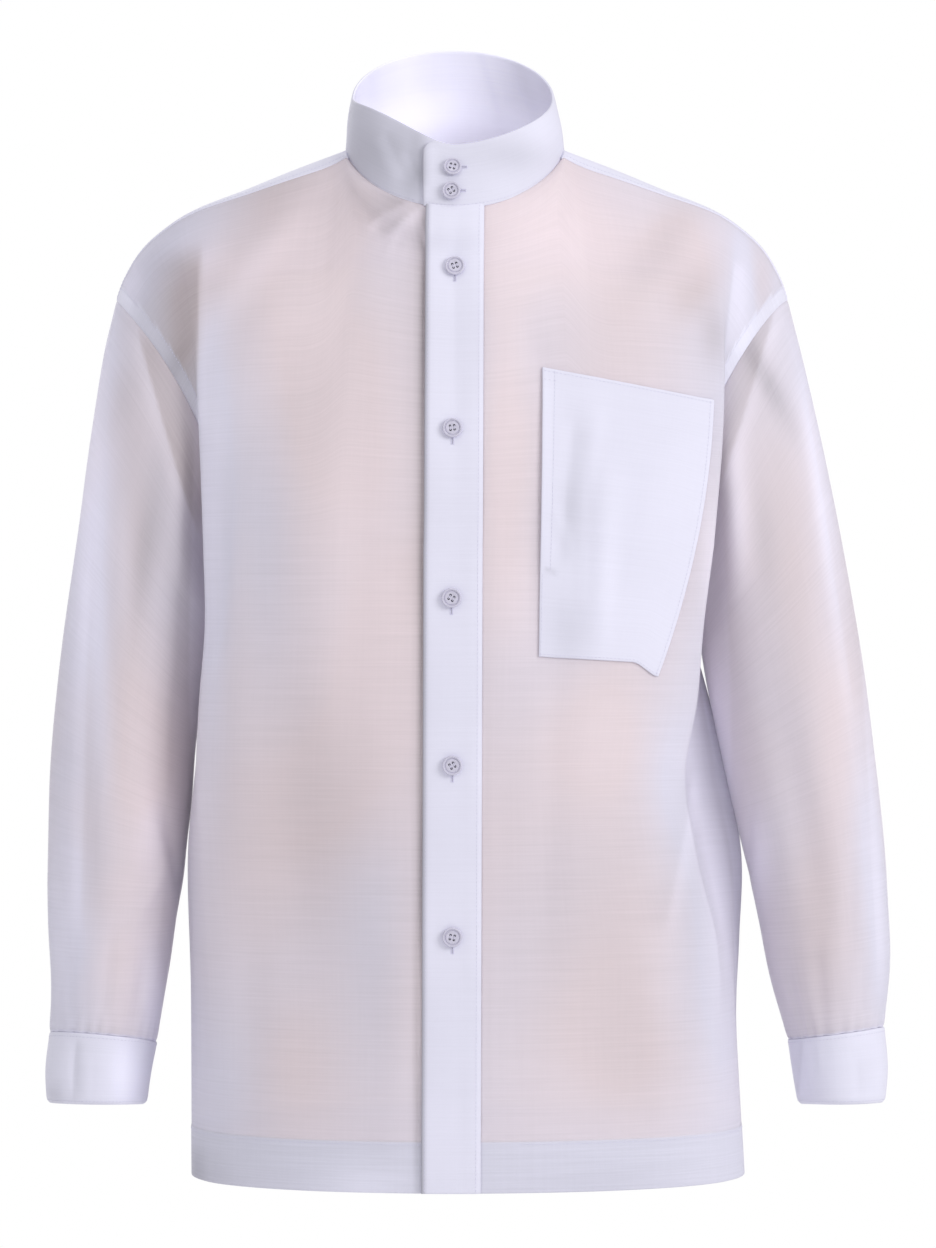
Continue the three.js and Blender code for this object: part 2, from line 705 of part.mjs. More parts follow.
const frontRows = UPPER_ROWS + lowerHeights.length;
const frontRightMain = panelSheet(FRONT, RIGHT, UPPER_ROWS, () => 0, frontSeamHeight);
const buttonStand = gridSheet(
  frontRows,
  2,
  (row, column) => {
    const height = rowHeight(row, UPPER_ROWS, 0);
    const edge = shareAtX(FRONT, placketEdgeX(height, BUTTON_STAND_SHARE), height);
    return bodyPoint(FRONT, LEFT, (edge * column) / 2, height);
  },
  false,
);
const frontRightSheet = weldSheets([frontRightMain, buttonStand]);
const frontLeftSheet = panelSheet(
  FRONT,
  LEFT,
  UPPER_ROWS,
  (height) => shareAtX(FRONT, placketEdgeX(height, 1), height),
  frontSeamHeight,
);
const backSheet = weldSheets([RIGHT, LEFT].map((side) => (
  panelSheet(BACK, side, BACK_ROWS, () => 0, backSeamHeight)
)));

// The yoke: over the back from the back seam, and over the shoulders to the front seam.
const yokeFrontStart = 0.275;
function yokeSheets(side) {
  const behind = gridSheet(
    YOKE_ROWS,
    COLUMNS,
    (row, column) => {
      const share = columnShare(column, 0);
      return bodyPoint(BACK, side, share, (backSeamHeight(share) * row) / YOKE_ROWS);
    },
    side > 0,
  );
  const frontShares = [yokeFrontStart, NECK_SHARE, ...OUTER_SHARES];
  const before = gridSheet(
    1,
    frontShares.length - 1,
    (row, column) => {
      const share = frontShares[column];
      return bodyPoint(FRONT, side, share, frontSeamHeight(share) * row);
    },
    side < 0,
  );
  return [behind, before];
}
const yokeSheet = weldSheets([...yokeSheets(RIGHT), ...yokeSheets(LEFT)]);

// ---- Sleeve sheets: the first ring meets every row of the panels round the armhole ----
function sleeveAngles() {
  const front = [0];
  for (let row = 0; row <= UPPER_ROWS; row += 1) {
    front.push(Math.PI * rowHeight(row, UPPER_ROWS, frontSeamHeight(1)));
  }
  const behind = [];
  for (let row = BACK_ROWS; row >= 0; row -= 1) {
    behind.push(Math.PI * (2 - rowHeight(row, BACK_ROWS, backSeamHeight(1))));
  }
  for (let row = YOKE_ROWS - 1; row >= 0; row -= 1) {
    behind.push(Math.PI * (2 - (backSeamHeight(1) * row) / YOKE_ROWS));
  }
  return [...front, ...behind.slice(1)];
}
const ringAngles = sleeveAngles();

function sleeveSheet(side) {
  return gridSheet(
    SLEEVE_ROWS,
    ringAngles.length - 1,
    (row, column) => sleevePoint(side, row / SLEEVE_ROWS, ringAngles[column]),
    side > 0,
  );
}
const sleeveSheets = { [RIGHT]: sleeveSheet(RIGHT), [LEFT]: sleeveSheet(LEFT) };

const skinNormals = sharedNormals([
  frontRightSheet,
  frontLeftSheet,
  backSheet,
  yokeSheet,
  sleeveSheets[RIGHT],
  sleeveSheets[LEFT],
]);
const hemmed = (point) => (point.z < HEM_Z + HEM_TURNING - 0.5 ? DOUBLED_CLOTH : CLOTH);

// ---- Placket ----
function placketMesh() {
  const columns = 4;
  const sheet = gridSheet(
    frontRows,
    columns,
    (row, column) => {
      const height = Math.max(rowHeight(row, UPPER_ROWS, 0), PLACKET.topHeight);
      const x = placketEdgeX(height, (2 * column) / columns - 1);
      return bodyPoint(FRONT, x < 0 ? RIGHT : LEFT, shareAtX(FRONT, x, height), height);
    },
    false,
  );
  return wall('placket', sheet, doubledMaterial(), {
    normals: sharedNormals([sheet]),
    lift: PLACKET.lift + PLACKET.thickness,
    thickness: PLACKET.thickness,
  });
}

// ---- Collar ----
// Its turn runs from the lower end, right of centre, by the wearer's right, round the back to
// the upper end.
function collarPoint(turn, height) {
  const side = Math.sin(turn) > 0 ? RIGHT : LEFT;
  const bend = Math.abs(Math.sin(turn));
  const forward = Math.cos(turn);
  const share = (Math.atan2(bend, Math.abs(forward)) / (Math.PI / 2)) * NECK_SHARE;
  const foot = bodyPoint(forward > 0 ? FRONT : BACK, side, share, 0);
  const swell = side === RIGHT ? RIM_SWELL.right : RIM_SWELL.left;
  const between = Math.max(2 * bend * forward, 0) ** 1.3;
  const rim = new THREE.Vector3(
    side * COLLAR_RIM.halfWidth * bend + COLLAR_RIM.shiftX,
    forward > 0 ? -COLLAR_RIM.front * forward : -COLLAR_RIM.back * forward,
    COLLAR_RIM.middleZ - COLLAR_RIM.tilt * forward + swell * between,
  );
  const outward = new THREE.Vector3(Math.sin(turn) * -1, -forward, 0);
  const lift = collarLift(turn);
  const bulge = 1.5 * Math.sin(Math.PI * height);
  return foot.lerp(rim, height).addScaledVector(outward, lift + bulge);
}

const lapTurn = (x) => Math.asin(x / NECK.halfWidth);
const collarStart = -lapTurn(COLLAR_LAP.right);
const collarEnd = 2 * Math.PI + lapTurn(COLLAR_LAP.left);

// The two ends lie one over the other: the lower end in, the upper end out.
function collarLift(turn) {
  const settled = 0.55;
  const lower = 1 - eased(clamp((turn - lapTurn(COLLAR_LAP.left)) / settled, 0, 1));
  const upper = 1 - eased(clamp((2 * Math.PI - lapTurn(COLLAR_LAP.right) - turn) / settled, 0, 1));
  return 0.7 + COLLAR_LAP.step * (upper - lower);
}

function collarMesh() {
  const turns = [collarStart];
  const steps = 34;
  for (let i = 1; i <= steps; i += 1) {
    turns.push(lerp(collarStart, collarEnd - COLLAR_LAP.cornerRadius / NECK.front, i / steps));
  }
  for (const share of [0.4, 0.7, 0.9, 1]) {
    turns.push(collarEnd - (COLLAR_LAP.cornerRadius / NECK.front) * (1 - share));
  }
  const rows = 4;
  const foot = 0.022;
  const sheet = gridSheet(
    rows,
    turns.length - 1,
    (row, column) => {
      const fromCorner = (turns[column] - collarEnd) * NECK.front + COLLAR_LAP.cornerRadius;
      const inCorner = clamp(fromCorner / COLLAR_LAP.cornerRadius, 0, 1);
      const cut = (COLLAR_LAP.cornerRadius / 48) * (1 - Math.sqrt(1 - inCorner ** 2));
      return collarPoint(turns[column], lerp(foot, 1 - cut * 0.96, 1 - row / rows));
    },
    true,
  );
  return wall('collar', sheet, doubledMaterial(), {
    normals: sharedNormals([sheet]),
    thickness: COLLAR_THICKNESS,
  });
}

// ---- Cuffs ----
const cuffRingPoint = (ring, side, angle) => (
  ringPoint({ ...ring, frontBow: 0, backBow: 0 }, side, angle)
);

function cuffMesh(name, side) {
  const table = CUFF_RINGS[side].map((row, i, all) => ({ ...row, place: i / (all.length - 1) }));
  const value = (place, column) => tableValue(table, 'place', place, column);
  const lapAngle = CUFF.lap / 55;
  const start = degToRad(CUFF.lapAngle);
  const columns = 26;
  const rows = 3;
  const sheet = gridSheet(
    rows,
    columns,
    (row, column) => {
      const place = row / rows;
      const turned = (column / columns) * (2 * Math.PI + lapAngle);
      const angle = (start + turned) % (2 * Math.PI);
      const ring = {};
      for (const part of ['outX', 'outZ', 'inX', 'inZ', 'depth']) ring[part] = value(place, part);
      const point = cuffRingPoint(ring, side, angle);
      const middle = new THREE.Vector3(
        (side * (ring.outX + ring.inX)) / 2,
        0,
        (ring.outZ + ring.inZ) / 2,
      );
      const lower = 1 - eased(clamp((turned - lapAngle) / 0.5, 0, 1));
      const upper = 1 - eased(clamp((2 * Math.PI - turned) / 0.5, 0, 1));
      const lift = 0.4 + CUFF.step * (upper - lower);
      return point.add(point.clone().sub(middle).normalize().multiplyScalar(lift));
    },
    side > 0,
  );
  return wall(name, sheet, doubledMaterial(), {
    normals: sharedNormals([sheet]),
    thickness: CUFF.thickness,
  });
}

// ---- Pocket ----
function pocketMesh() {
  const rows = 10;
  const columns = 8;
  const sheet = gridSheet(
    rows,
    columns,
    (row, column) => {
      const u = column / columns;
      const v = row / rows;
      const innerX = lerp(POCKET.topInner[0], POCKET.bottomInner[0], v);
      const bend = 4 * v * (1 - v);
      const straightX = lerp(POCKET.topOuter[0], POCKET.bottomOuter[0], v);
      const middleX = (POCKET.topOuter[0] + POCKET.bottomOuter[0]) / 2;
      const outerX = straightX + bend * (POCKET.outerMiddle[0] - middleX);
      const topZ = lerp(POCKET.topInner[1], POCKET.topOuter[1], u);
      const bottomZ = lerp(POCKET.bottomInner[1], POCKET.bottomOuter[1] + POCKET.point, u)
        - POCKET.point * eased(clamp((u - 0.78) / 0.22, 0, 1));
      const { point } = frontAt(lerp(innerX, outerX, u), lerp(topZ, bottomZ, v));
      return point;
    },
    false,
  );
  return wall('pocket', sheet, doubledMaterial(), {
    normals: sharedNormals([sheet]),
    lift: POCKET.lift + POCKET.thickness,
    thickness: POCKET.thickness,
  });
}

// ---- Buttons: a turned disc with a raised rim round a shallow dish ----
// A button lies just clear of the highest spot of the cloth under its back.
function buttonOn(cloth, name, size, point, normal) {
  const profile = [
    new THREE.Vector2(0, 0),
    new THREE.Vector2(size.radius * 0.72, 0),
    new THREE.Vector2(size.radius, size.thickness * 0.45),
    new THREE.Vector2(size.radius * 0.93, size.thickness),
    new THREE.Vector2(size.radius - size.rim, size.thickness),
    new THREE.Vector2(size.radius - size.rim * 1.7, size.thickness - size.dish),
    new THREE.Vector2(0, size.thickness - size.dish),
  ];
  const mesh = namedMesh(name, new THREE.LatheGeometry(profile, 16), buttonMaterial());
  const upright = new THREE.Vector3(0, 1, 0);
  mesh.quaternion.setFromUnitVectors(upright, normal);
  const reach = 10;
  let highest = -reach;
  for (const share of [0, 0.4, 0.72]) {
    for (let turn = 0; turn < 8; turn += 1) {
      const angle = (turn * Math.PI) / 4;
      const spot = new THREE.Vector3(Math.cos(angle), 0, Math.sin(angle));
      spot.multiplyScalar(size.radius * share).applyQuaternion(mesh.quaternion).add(point);
      const from = spot.clone().addScaledVector(normal, reach);
      const hits = new THREE.Raycaster(from, normal.clone().negate()).intersectObject(cloth);
      if (hits.length) highest = Math.max(highest, reach - hits[0].distance);
    }
  }
  mesh.position.copy(point).addScaledVector(normal, highest + BUTTON_SEAT);
  return mesh;
}

function collarButton(collar, name, row) {
  const turn = 2 * Math.PI - Math.asin(row.x / NECK.halfWidth);
  const step = 0.02;
  const point = collarPoint(turn, row.height);
  const across = collarPoint(turn + step, row.height).sub(collarPoint(turn - step, row.height));
  const up = collarPoint(turn, row.height + step).sub(collarPoint(turn, row.height - step));
  return buttonOn(collar, name, COLLAR_BUTTON, point, up.cross(across).normalize());
}

function cuffButton(cuff, name, side) {
  const [upper, middle, lower] = CUFF_RINGS[side];
  const angle = degToRad(CUFF.lapAngle) + CUFF.lap / 110;
  const step = 0.05;
  const across = cuffRingPoint(middle, side, angle + step)
    .sub(cuffRingPoint(middle, side, angle - step));
  const down = cuffRingPoint(lower, side, angle).sub(cuffRingPoint(upper, side, angle));
  const normal = across.cross(down).multiplyScalar(side).normalize();
  return buttonOn(cuff, name, BUTTON, cuffRingPoint(middle, side, angle), normal);
}

// ---- The shirt ----
const skin = (name, sheet, thickness) => (
  wall(name, sheet, clothMaterial(), { normals: skinNormals, thickness })
);
const placket = placketMesh();
const collar = collarMesh();
const cuffs = { [RIGHT]: cuffMesh('cuff_right', RIGHT), [LEFT]: cuffMesh('cuff_left', LEFT) };

const shirt = new THREE.Group();
shirt.add(
  skin('front_right', frontRightSheet, hemmed),
  skin('front_left', frontLeftSheet, hemmed),
  skin('back', backSheet, hemmed),
  skin('yoke', yokeSheet, CLOTH),
  skin('sleeve_right', sleeveSheets[RIGHT], CLOTH),
  skin('sleeve_left', sleeveSheets[LEFT], CLOTH),
  placket,
  collar,
  cuffs[RIGHT],
  cuffs[LEFT],
  pocketMesh(),
);
FRONT_BUTTONS.forEach((row, i) => {
  const { point, normal } = frontAt(row.x, row.z);
  shirt.add(buttonOn(placket, `front_button_${i + 1}`, BUTTON, point, normal));
});
COLLAR_BUTTONS.forEach((row, i) => {
  shirt.add(collarButton(collar, `collar_button_${i + 1}`, row));
});
shirt.add(
  cuffButton(cuffs[RIGHT], 'cuff_button_right', RIGHT),
  cuffButton(cuffs[LEFT], 'cuff_button_left', LEFT),
);

export default shirt;
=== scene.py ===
"""A sheer shirt with a stand collar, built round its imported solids.

Lengths are in millimetres until a mesh is made, with +Z up, the front facing -Y and the wearer's
left at +X. Every cloth piece is a thin closed shell on the same form as its solid.
"""

import math

import bpy
import numpy as np
from bpy.props import FloatProperty, FloatVectorProperty, IntProperty, PointerProperty
from mathutils import Matrix, Vector
from mathutils.bvhtree import BVHTree


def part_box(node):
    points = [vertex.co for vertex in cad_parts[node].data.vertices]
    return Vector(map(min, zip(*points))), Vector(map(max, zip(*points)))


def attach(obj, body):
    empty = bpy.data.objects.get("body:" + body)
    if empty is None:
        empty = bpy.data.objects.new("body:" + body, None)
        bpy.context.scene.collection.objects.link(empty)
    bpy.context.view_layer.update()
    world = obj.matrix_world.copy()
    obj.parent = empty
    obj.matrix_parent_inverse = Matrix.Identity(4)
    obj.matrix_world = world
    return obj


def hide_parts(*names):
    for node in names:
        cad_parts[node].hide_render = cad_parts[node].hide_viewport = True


bl_info = {
    "name": "Stand collar shirt",
    "version": (1, 0, 0),
    "blender": (4, 5, 0),
    "location": "View3D > Sidebar > Shirt",
    "description": "Sews the panels, sleeves, collar, cuffs, pocket and buttons of a sheer shirt",
    "category": "Object",
}

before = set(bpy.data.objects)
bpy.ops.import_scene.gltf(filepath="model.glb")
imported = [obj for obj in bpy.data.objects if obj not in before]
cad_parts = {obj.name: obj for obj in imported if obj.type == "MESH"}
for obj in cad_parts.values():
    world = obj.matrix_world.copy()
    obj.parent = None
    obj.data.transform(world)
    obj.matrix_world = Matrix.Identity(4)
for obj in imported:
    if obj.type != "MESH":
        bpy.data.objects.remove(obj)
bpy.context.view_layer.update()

MM = 0.001
RIGHT, LEFT = -1, 1
FRONT, BACK = -1, 1


def table(names, *rows):
    """Named columns from rows of numbers."""
    return dict(zip(names.split(), np.array(rows, float).T))


# ---- The cut: neck, shoulders, armholes and level sections ----
UNDERARM_Z = -290
HEM_Z = -745.5
HEM_TURNING = 36
NECK_HALF_WIDTH, NECK_FRONT, NECK_BACK, NECK_DROP, NECK_RISE = 79, 75, 62, 49, 25
NECK_SHARE, CREST_SHARE, CREST_ANGLE = 0.32, 0.7, math.radians(70)
MELT_WIDTH, MELT_DEPTH = 0.19, 0.2

SHOULDER_LINE = table(
    "share x z",
    (0.32, 79, 0),
    (0.45, 118, -15),
    (0.57, 152, -29),
    (0.7, 190, -44),
    (0.79, 212, -58),
    (0.87, 229, -74),
    (0.94, 241, -94),
    (1, 247, -110),
)
TIP_X = {RIGHT: 247, LEFT: 243}
BOW_POWER = {RIGHT: 2, LEFT: 1.5}
SECTIONS = {
    (FRONT, RIGHT): table(
        "z crest_x crest_y dent",
        (-290, 180, 80, 6),
        (-345, 179, 78, 6),
        (-400, 183, 71, 2),
        (-455, 185, 65, -2),
        (-515, 182, 62, -5),
        (-613, 176, 61, -5.5),
        (-745.5, 175, 61, -5.5),
    ),
    (FRONT, LEFT): table(
        "z crest_x crest_y dent",
        (-290, 186, 80, 10),
        (-345, 179, 78, 9),
        (-400, 174, 77, 11),
        (-455, 165, 78, 14),
        (-515, 174, 72, 11),
        (-575, 188, 62, 4),
        (-640, 190, 59, -4),
        (-745.5, 193, 58, -5.5),
    ),
    (BACK, RIGHT): table(
        "z crest_x crest_y dent",
        (-290, 176, 72, 5),
        (-350, 177, 70, 5),
        (-430, 180, 64, 1),
        (-520, 178, 60, -4),
        (-745.5, 174, 58, -5.5),
    ),
    (BACK, LEFT): table(
        "z crest_x crest_y dent",
        (-290, 180, 72, 5),
        (-350, 178, 71, 6),
        (-430, 175, 69, 8),
        (-520, 182, 63, 3),
        (-620, 189, 58, -4),
        (-745.5, 192, 56, -5.5),
    ),
}
CENTRE_DEPTHS = {
    FRONT: table("z depth", (-290, 117), (-345, 118), (-400, 119), (-455, 120), (-745.5, 120)),
    BACK: table("z depth", (-290, 108), (-350, 108), (-430, 109), (-520, 110), (-745.5, 110)),
}
SIDE_SEAMS = {
    RIGHT: table(
        "z x",
        (-290, 160),
        (-345, 167),
        (-400, 178),
        (-455, 187),
        (-515, 193),
        (-613, 192),
        (-745.5, 191.5),
    ),
    LEFT: table(
        "z x",
        (-290, 160),
        (-345, 171),
        (-400, 186),
        (-455, 199.5),
        (-515, 209.5),
        (-575, 208),
        (-640, 205.5),
        (-745.5, 211),
    ),
}
FULLNESS = table(
    "share front back", (0, 1.35, 1.5), (0.32, 1.8, 1.85), (0.5, 2.15, 2.15), (1, 2.3, 2.3)
)
CREST_BOW = {RIGHT: 1, LEFT: 8}
FRONT_YOKE_SEAM = table(
    "share height", (0.25, 0), (0.32, 0.1), (0.42, 0.115), (0.7, 0.07), (1, 0.024)
)
BACK_YOKE_SEAM = table("share height", (0, 0.38), (0.32, 0.35), (0.7, 0.29), (1, 0.16))
YOKE_FRONT_START = 0.275

RINGS = "out_x out_z in_x in_z depth front_bow back_bow"
SLEEVE_RINGS = {
    RIGHT: table(
        RINGS,
        (247, -110, 160, -290, 62, 17, 6),
        (257, -153, 166, -318, 67, 6, 3),
        (267, -219, 173, -350, 69, 2, 1),
        (276, -285, 183, -390, 68, 0, 0),
        (288, -372, 193, -440, 66, 0, 0),
        (295, -450, 198, -490, 62, 0, 0),
        (297, -517, 199.5, -530, 58, 0, 0),
        (297, -560, 204, -563, 54, 0, 0),
        (295, -600, 209.5, -601, 49, 0, 0),
        (295.5, -644.5, 218, -651.5, 42, 0, 0),
    ),
    LEFT: table(
        RINGS,
        (243, -110, 160, -290, 62, 18, 6),
        (254, -153, 169, -318, 67, 8, 3),
        (269, -219, 177, -347, 69, 3, 1),
        (282, -285, 185, -384, 68, 0, 0),
        (297, -372, 197.5, -437, 66, 0, 0),
        (306, -440, 207, -485, 62, 0, 0),
        (313, -504, 215, -525, 58, 0, 0),
        (316, -547, 222, -562, 54, 0, 0),
        (317.5, -591, 230, -603, 49, 0, 0),
        (313, -640, 243.5, -649.5, 42, 0, 0),
    ),
}
CUFF_RINGS = {
    RIGHT: table(
        RINGS,
        (295.5, -644.6, 218, -651.6, 42, 0, 0),
        (298.5, -671, 222.5, -675, 41, 0, 0),
        (297.5, -696, 225.5, -697, 40, 0, 0),
    ),
    LEFT: table(
        RINGS,
        (313, -640.1, 243.5, -649.6, 42, 0, 0),
        (315.5, -669, 247, -674, 41, 0, 0),
        (313.5, -696, 251, -697, 40, 0, 0),
    ),
}
for rings in (*SLEEVE_RINGS.values(), *CUFF_RINGS.values()):
    rings["place"] = np.linspace(0, 1, len(rings["out_x"]))

# Folds: from (x, z) to (x, z), width, height. A minus height is a trough.
BODY_FOLDS = {
    FRONT: (
        (-120, -330, -104, -700, 26, -3),
        (118, -430, 96, -720, 26, -3.5),
        (-62, -120, -78, -520, 17, -1.8),
        (-150, -170, -160, -520, 15, 1.6),
        (-36, -560, -46, -742, 12, 1.2),
        (-140, -560, -152, -742, 13, -1.6),
        (44, -80, 50, -330, 14, 1.4),
        (74, -300, 62, -640, 12, -1.6),
        (140, -560, 150, -742, 14, 1.6),
        (48, -120, 66, -190, 9, -0.8),
        (-70, -75, -92, -190, 10, -1.2),
        (-30, -42, -54, -92, 3.2, 1.1),
        (-38, -39, -66, -78, 2.8, -0.9),
        (-24, -45, -34, -96, 3.4, -1.0),
        (-18, -47, -20, -82, 2.8, 0.8),
        (-196, -118, -178, -210, 9, -1.5),
        (178, -210, 205, -130, 9, -1.2),
    ),
    BACK: (
        (-96, -150, -112, -620, 28, -5),
        (84, -140, 108, -560, 28, -4),
        (6, -260, -14, -700, 30, -3),
        (-48, -160, -58, -470, 12, 1.6),
        (44, -200, 36, -640, 13, 1.8),
        (-146, -260, -138, -700, 14, 1.8),
        (150, -330, 142, -742, 13, 1.5),
        (70, -520, 84, -742, 12, -1.5),
        (-84, -560, -78, -742, 12, 1.4),
    ),
}
# Sleeve folds: from (place along, degrees round) to the same, width, height.
SLEEVE_FOLDS = {
    RIGHT: (
        (0.02, 122, 0.2, 150, 20, -9),
        (0.0, 86, 0.24, 118, 15, 5),
        (0.3, 60, 0.8, 74, 15, -4),
        (0.3, 285, 0.75, 262, 18, -4),
        (0.5, 128, 0.74, 176, 8, -2.4),
        (0.6, 150, 0.82, 108, 7, 1.6),
        (0.55, 30, 0.92, 44, 9, -1.6),
        (0.78, 96, 1.0, 92, 7, -1.6),
        (0.84, 52, 1.0, 56, 6, -1.4),
        (0.84, 130, 1.0, 128, 6, -1.4),
        (0.14, 46, 0.52, 38, 12, 1.6),
        (0.45, 196, 0.62, 232, 8, -2.2),
        (0.2, 300, 0.6, 330, 12, -2),
        (0.82, 250, 1.0, 246, 7, -1.8),
        (0.84, 300, 1.0, 304, 6, -1.4),
    ),
    LEFT: (
        (0.02, 118, 0.28, 152, 20, -9),
        (0.0, 84, 0.26, 120, 15, 5),
        (0.35, 108, 0.85, 96, 16, -4),
        (0.25, 250, 0.7, 282, 18, -5),
        (0.52, 140, 0.7, 182, 8, -2),
        (0.4, 58, 0.7, 44, 10, 1.8),
        (0.62, 62, 0.9, 76, 8, -1.8),
        (0.8, 104, 1.0, 108, 7, -1.6),
        (0.85, 60, 1.0, 66, 6, -1.4),
        (0.84, 140, 1.0, 136, 6, -1.4),
        (0.16, 50, 0.48, 62, 12, -1.8),
        (0.48, 200, 0.66, 236, 8, -2.2),
        (0.2, 310, 0.62, 324, 12, -2),
        (0.82, 246, 1.0, 252, 7, -1.8),
        (0.86, 296, 1.0, 300, 6, -1.4),
    ),
}
SLEEVE_SPAN, SLEEVE_RADIUS = 430, 55

PLACKET_WIDTH, PLACKET_TOP_X, PLACKET_HEM_X, PLACKET_TOP = 41.5, 0.4, -2.4, 0.012
STAND_EDGE, FRONT_LEFT_EDGE = 0.86, 0.9

RIM_HALF_WIDTH, RIM_FRONT, RIM_BACK, RIM_MIDDLE_Z, RIM_TILT, RIM_SHIFT_X = 73, 63, 60, 39, 42, -1.5
RIM_SWELL_RIGHT, RIM_SWELL_LEFT = 13, 3.5
COLLAR_LEFT_LAP, COLLAR_RIGHT_LAP, COLLAR_CORNER, COLLAR_STEP = 22, 18, 14, 1.25
COLLAR_HEIGHT = 48

CUFF_LAP, CUFF_STEP, CUFF_LAP_ANGLE, CUFF_RADIUS = 20, 1.25, math.radians(232), 55

POCKET_TOP_INNER, POCKET_TOP_OUTER = (61.9, -164.8), (184, -187)
POCKET_MIDDLE_X = 172
POCKET_BOTTOM_INNER, POCKET_BOTTOM_OUTER, POCKET_POINT = (59, -369), (143.6, -383), 9
POCKET_NOTCH = 0.72


# ---- Small helpers ----
def eased(t):
    t = np.clip(t, 0, 1)
    return t * t * (3 - 2 * t)


def mix(a, b, t):
    return a + (b - a) * t


def smooth(rows, key, at, column):
    """A smooth value from a table: cubic between rows, each row's slope from its neighbours."""
    keys, values = rows[key], rows[column]
    if keys[0] > keys[-1]:
        keys, at = -keys, -np.asarray(at, float)
    at = np.clip(at, keys[0], keys[-1])
    i = np.clip(np.searchsorted(keys, at, side="left") - 1, 0, len(keys) - 2)
    last = len(keys) - 1
    before = np.maximum(np.arange(len(keys)) - 1, 0)
    after = np.minimum(np.arange(len(keys)) + 1, last)
    slopes = (values[after] - values[before]) / (keys[after] - keys[before])
    span = keys[i + 1] - keys[i]
    t = (at - keys[i]) / span
    rise = t * t * (3 - 2 * t)
    leaving = t * (1 - t) ** 2 * span * slopes[i]
    arriving = t * t * (t - 1) * span * slopes[i + 1]
    return mix(values[i], values[i + 1], rise) + leaving + arriving


def place(x, y, z):
    return np.stack(np.broadcast_arrays(x, y, z), axis=-1).astype(float)


def fold_rise(u, v, fold):
    """How much a soft fold lifts or sinks a place, given in level units."""
    from_u, from_v, to_u, to_v, width, height = fold
    run_u, run_v = to_u - from_u, to_v - from_v
    length = math.hypot(run_u, run_v)
    along = ((u - from_u) * run_u + (v - from_v) * run_v) / length**2
    across = ((u - from_u) * run_v - (v - from_v) * run_u) / length
    taper = np.sin(np.pi * np.clip(along, 0, 1)) ** 0.8
    return height * taper * np.exp(-((across / width) ** 2))


def unit(vectors):
    return vectors / np.maximum(np.linalg.norm(vectors, axis=-1, keepdims=True), 1e-9)


# ---- The body's form ----
def shoulder_point(side, share):
    out = np.clip((share - NECK_SHARE) / (1 - NECK_SHARE), 0, 1)
    scale = mix(1, TIP_X[side] / TIP_X[RIGHT], out)
    x = smooth(SHOULDER_LINE, "share", share, "x") * scale
    return place(side * x, 0, smooth(SHOULDER_LINE, "share", share, "z"))


def neck_point(face, side, share):
    angle = share / NECK_SHARE * math.pi / 2
    forward = np.clip(np.cos(angle), 0, 1)
    if face == FRONT:
        y, z = -NECK_FRONT * forward, -NECK_DROP * forward**1.25
    else:
        y, z = NECK_BACK * forward, NECK_RISE * forward**1.1
    return place(side * NECK_HALF_WIDTH * np.sin(angle), y, z)


def top_point(face, side, share):
    mirror = np.where(share < 0, -1.0, 1.0)
    share = np.abs(share)
    neck = neck_point(face, side, np.minimum(share, NECK_SHARE))
    point = np.where((share < NECK_SHARE)[..., None], neck, shoulder_point(side, share))
    point[..., 0] *= mirror
    return point


def melted_top(face, side, share, drop):
    """The upper edge as the cloth below it follows it: softer the lower the place lies."""
    width = MELT_WIDTH * eased(drop / MELT_DEPTH)
    total = 0
    weights = 0
    for step in np.arange(-1.5, 1.6, 0.5):
        weight = math.exp(-step * step)
        total = total + top_point(face, side, share + step * width) * weight
        weights += weight
    return total / weights


def ring_point(ring, side, angle):
    """A place on a slanted oval ring: 0 its outer end, pi its inner end, pi/2 its front."""
    is_front = angle <= math.pi
    half_x, half_z = (ring["out_x"] - ring["in_x"]) / 2, (ring["out_z"] - ring["in_z"]) / 2
    length = np.hypot(half_x, half_z)
    power = np.where(is_front, BOW_POWER[side], 2)
    bow = np.where(is_front, ring["front_bow"], ring["back_bow"])
    bow = bow * np.abs(np.sin(angle)) ** power
    x = ring["in_x"] + half_x * (1 + np.cos(angle)) - bow * half_z / length
    z = ring["in_z"] + half_z * (1 + np.cos(angle)) + bow * half_x / length
    return place(side * x, -ring["depth"] * np.sin(angle), z)


def armhole_point(face, side, height):
    turn = math.pi * height
    ring = {name: values[0] for name, values in SLEEVE_RINGS[side].items()}
    return ring_point(ring, side, turn if face == FRONT else 2 * math.pi - turn)


def dent_offset(face, side, z, t):
    """The dent between fold and side seam, square to the straight line that joins them."""
    rows = SECTIONS[face, side]
    crest_x, crest_y = (smooth(rows, "z", z, name) for name in ("crest_x", "crest_y"))
    run = smooth(SIDE_SEAMS[side], "z", z, "x") - crest_x
    length = np.hypot(crest_y, run)
    depth = smooth(rows, "z", z, "dent") * np.sin(math.pi * t)
    return depth * crest_y / length, depth * run / length


def section_point(face, side, share, z):
    rows = SECTIONS[face, side]
    crest_x, crest_y = (smooth(rows, "z", z, name) for name in ("crest_x", "crest_y"))
    depth = smooth(CENTRE_DEPTHS[face], "z", z, "depth")
    angle = np.minimum(share / CREST_SHARE, 1) * CREST_ANGLE
    full = (np.cos(angle) - math.cos(CREST_ANGLE)) / (1 - math.cos(CREST_ANGLE))
    inner = place(
        side * crest_x * np.sin(angle) / math.sin(CREST_ANGLE),
        face * (crest_y + (depth - crest_y) * full),
        z,
    )
    t = np.clip((share - CREST_SHARE) / (1 - CREST_SHARE), 0, 1)
    dent_x, dent_y = dent_offset(face, side, z, t)
    x = mix(crest_x, smooth(SIDE_SEAMS[side], "z", z, "x"), t) - dent_x
    outer = place(side * x, face * (crest_y * (1 - t) - dent_y), z)
    return np.where((share <= CREST_SHARE)[..., None], inner, outer)


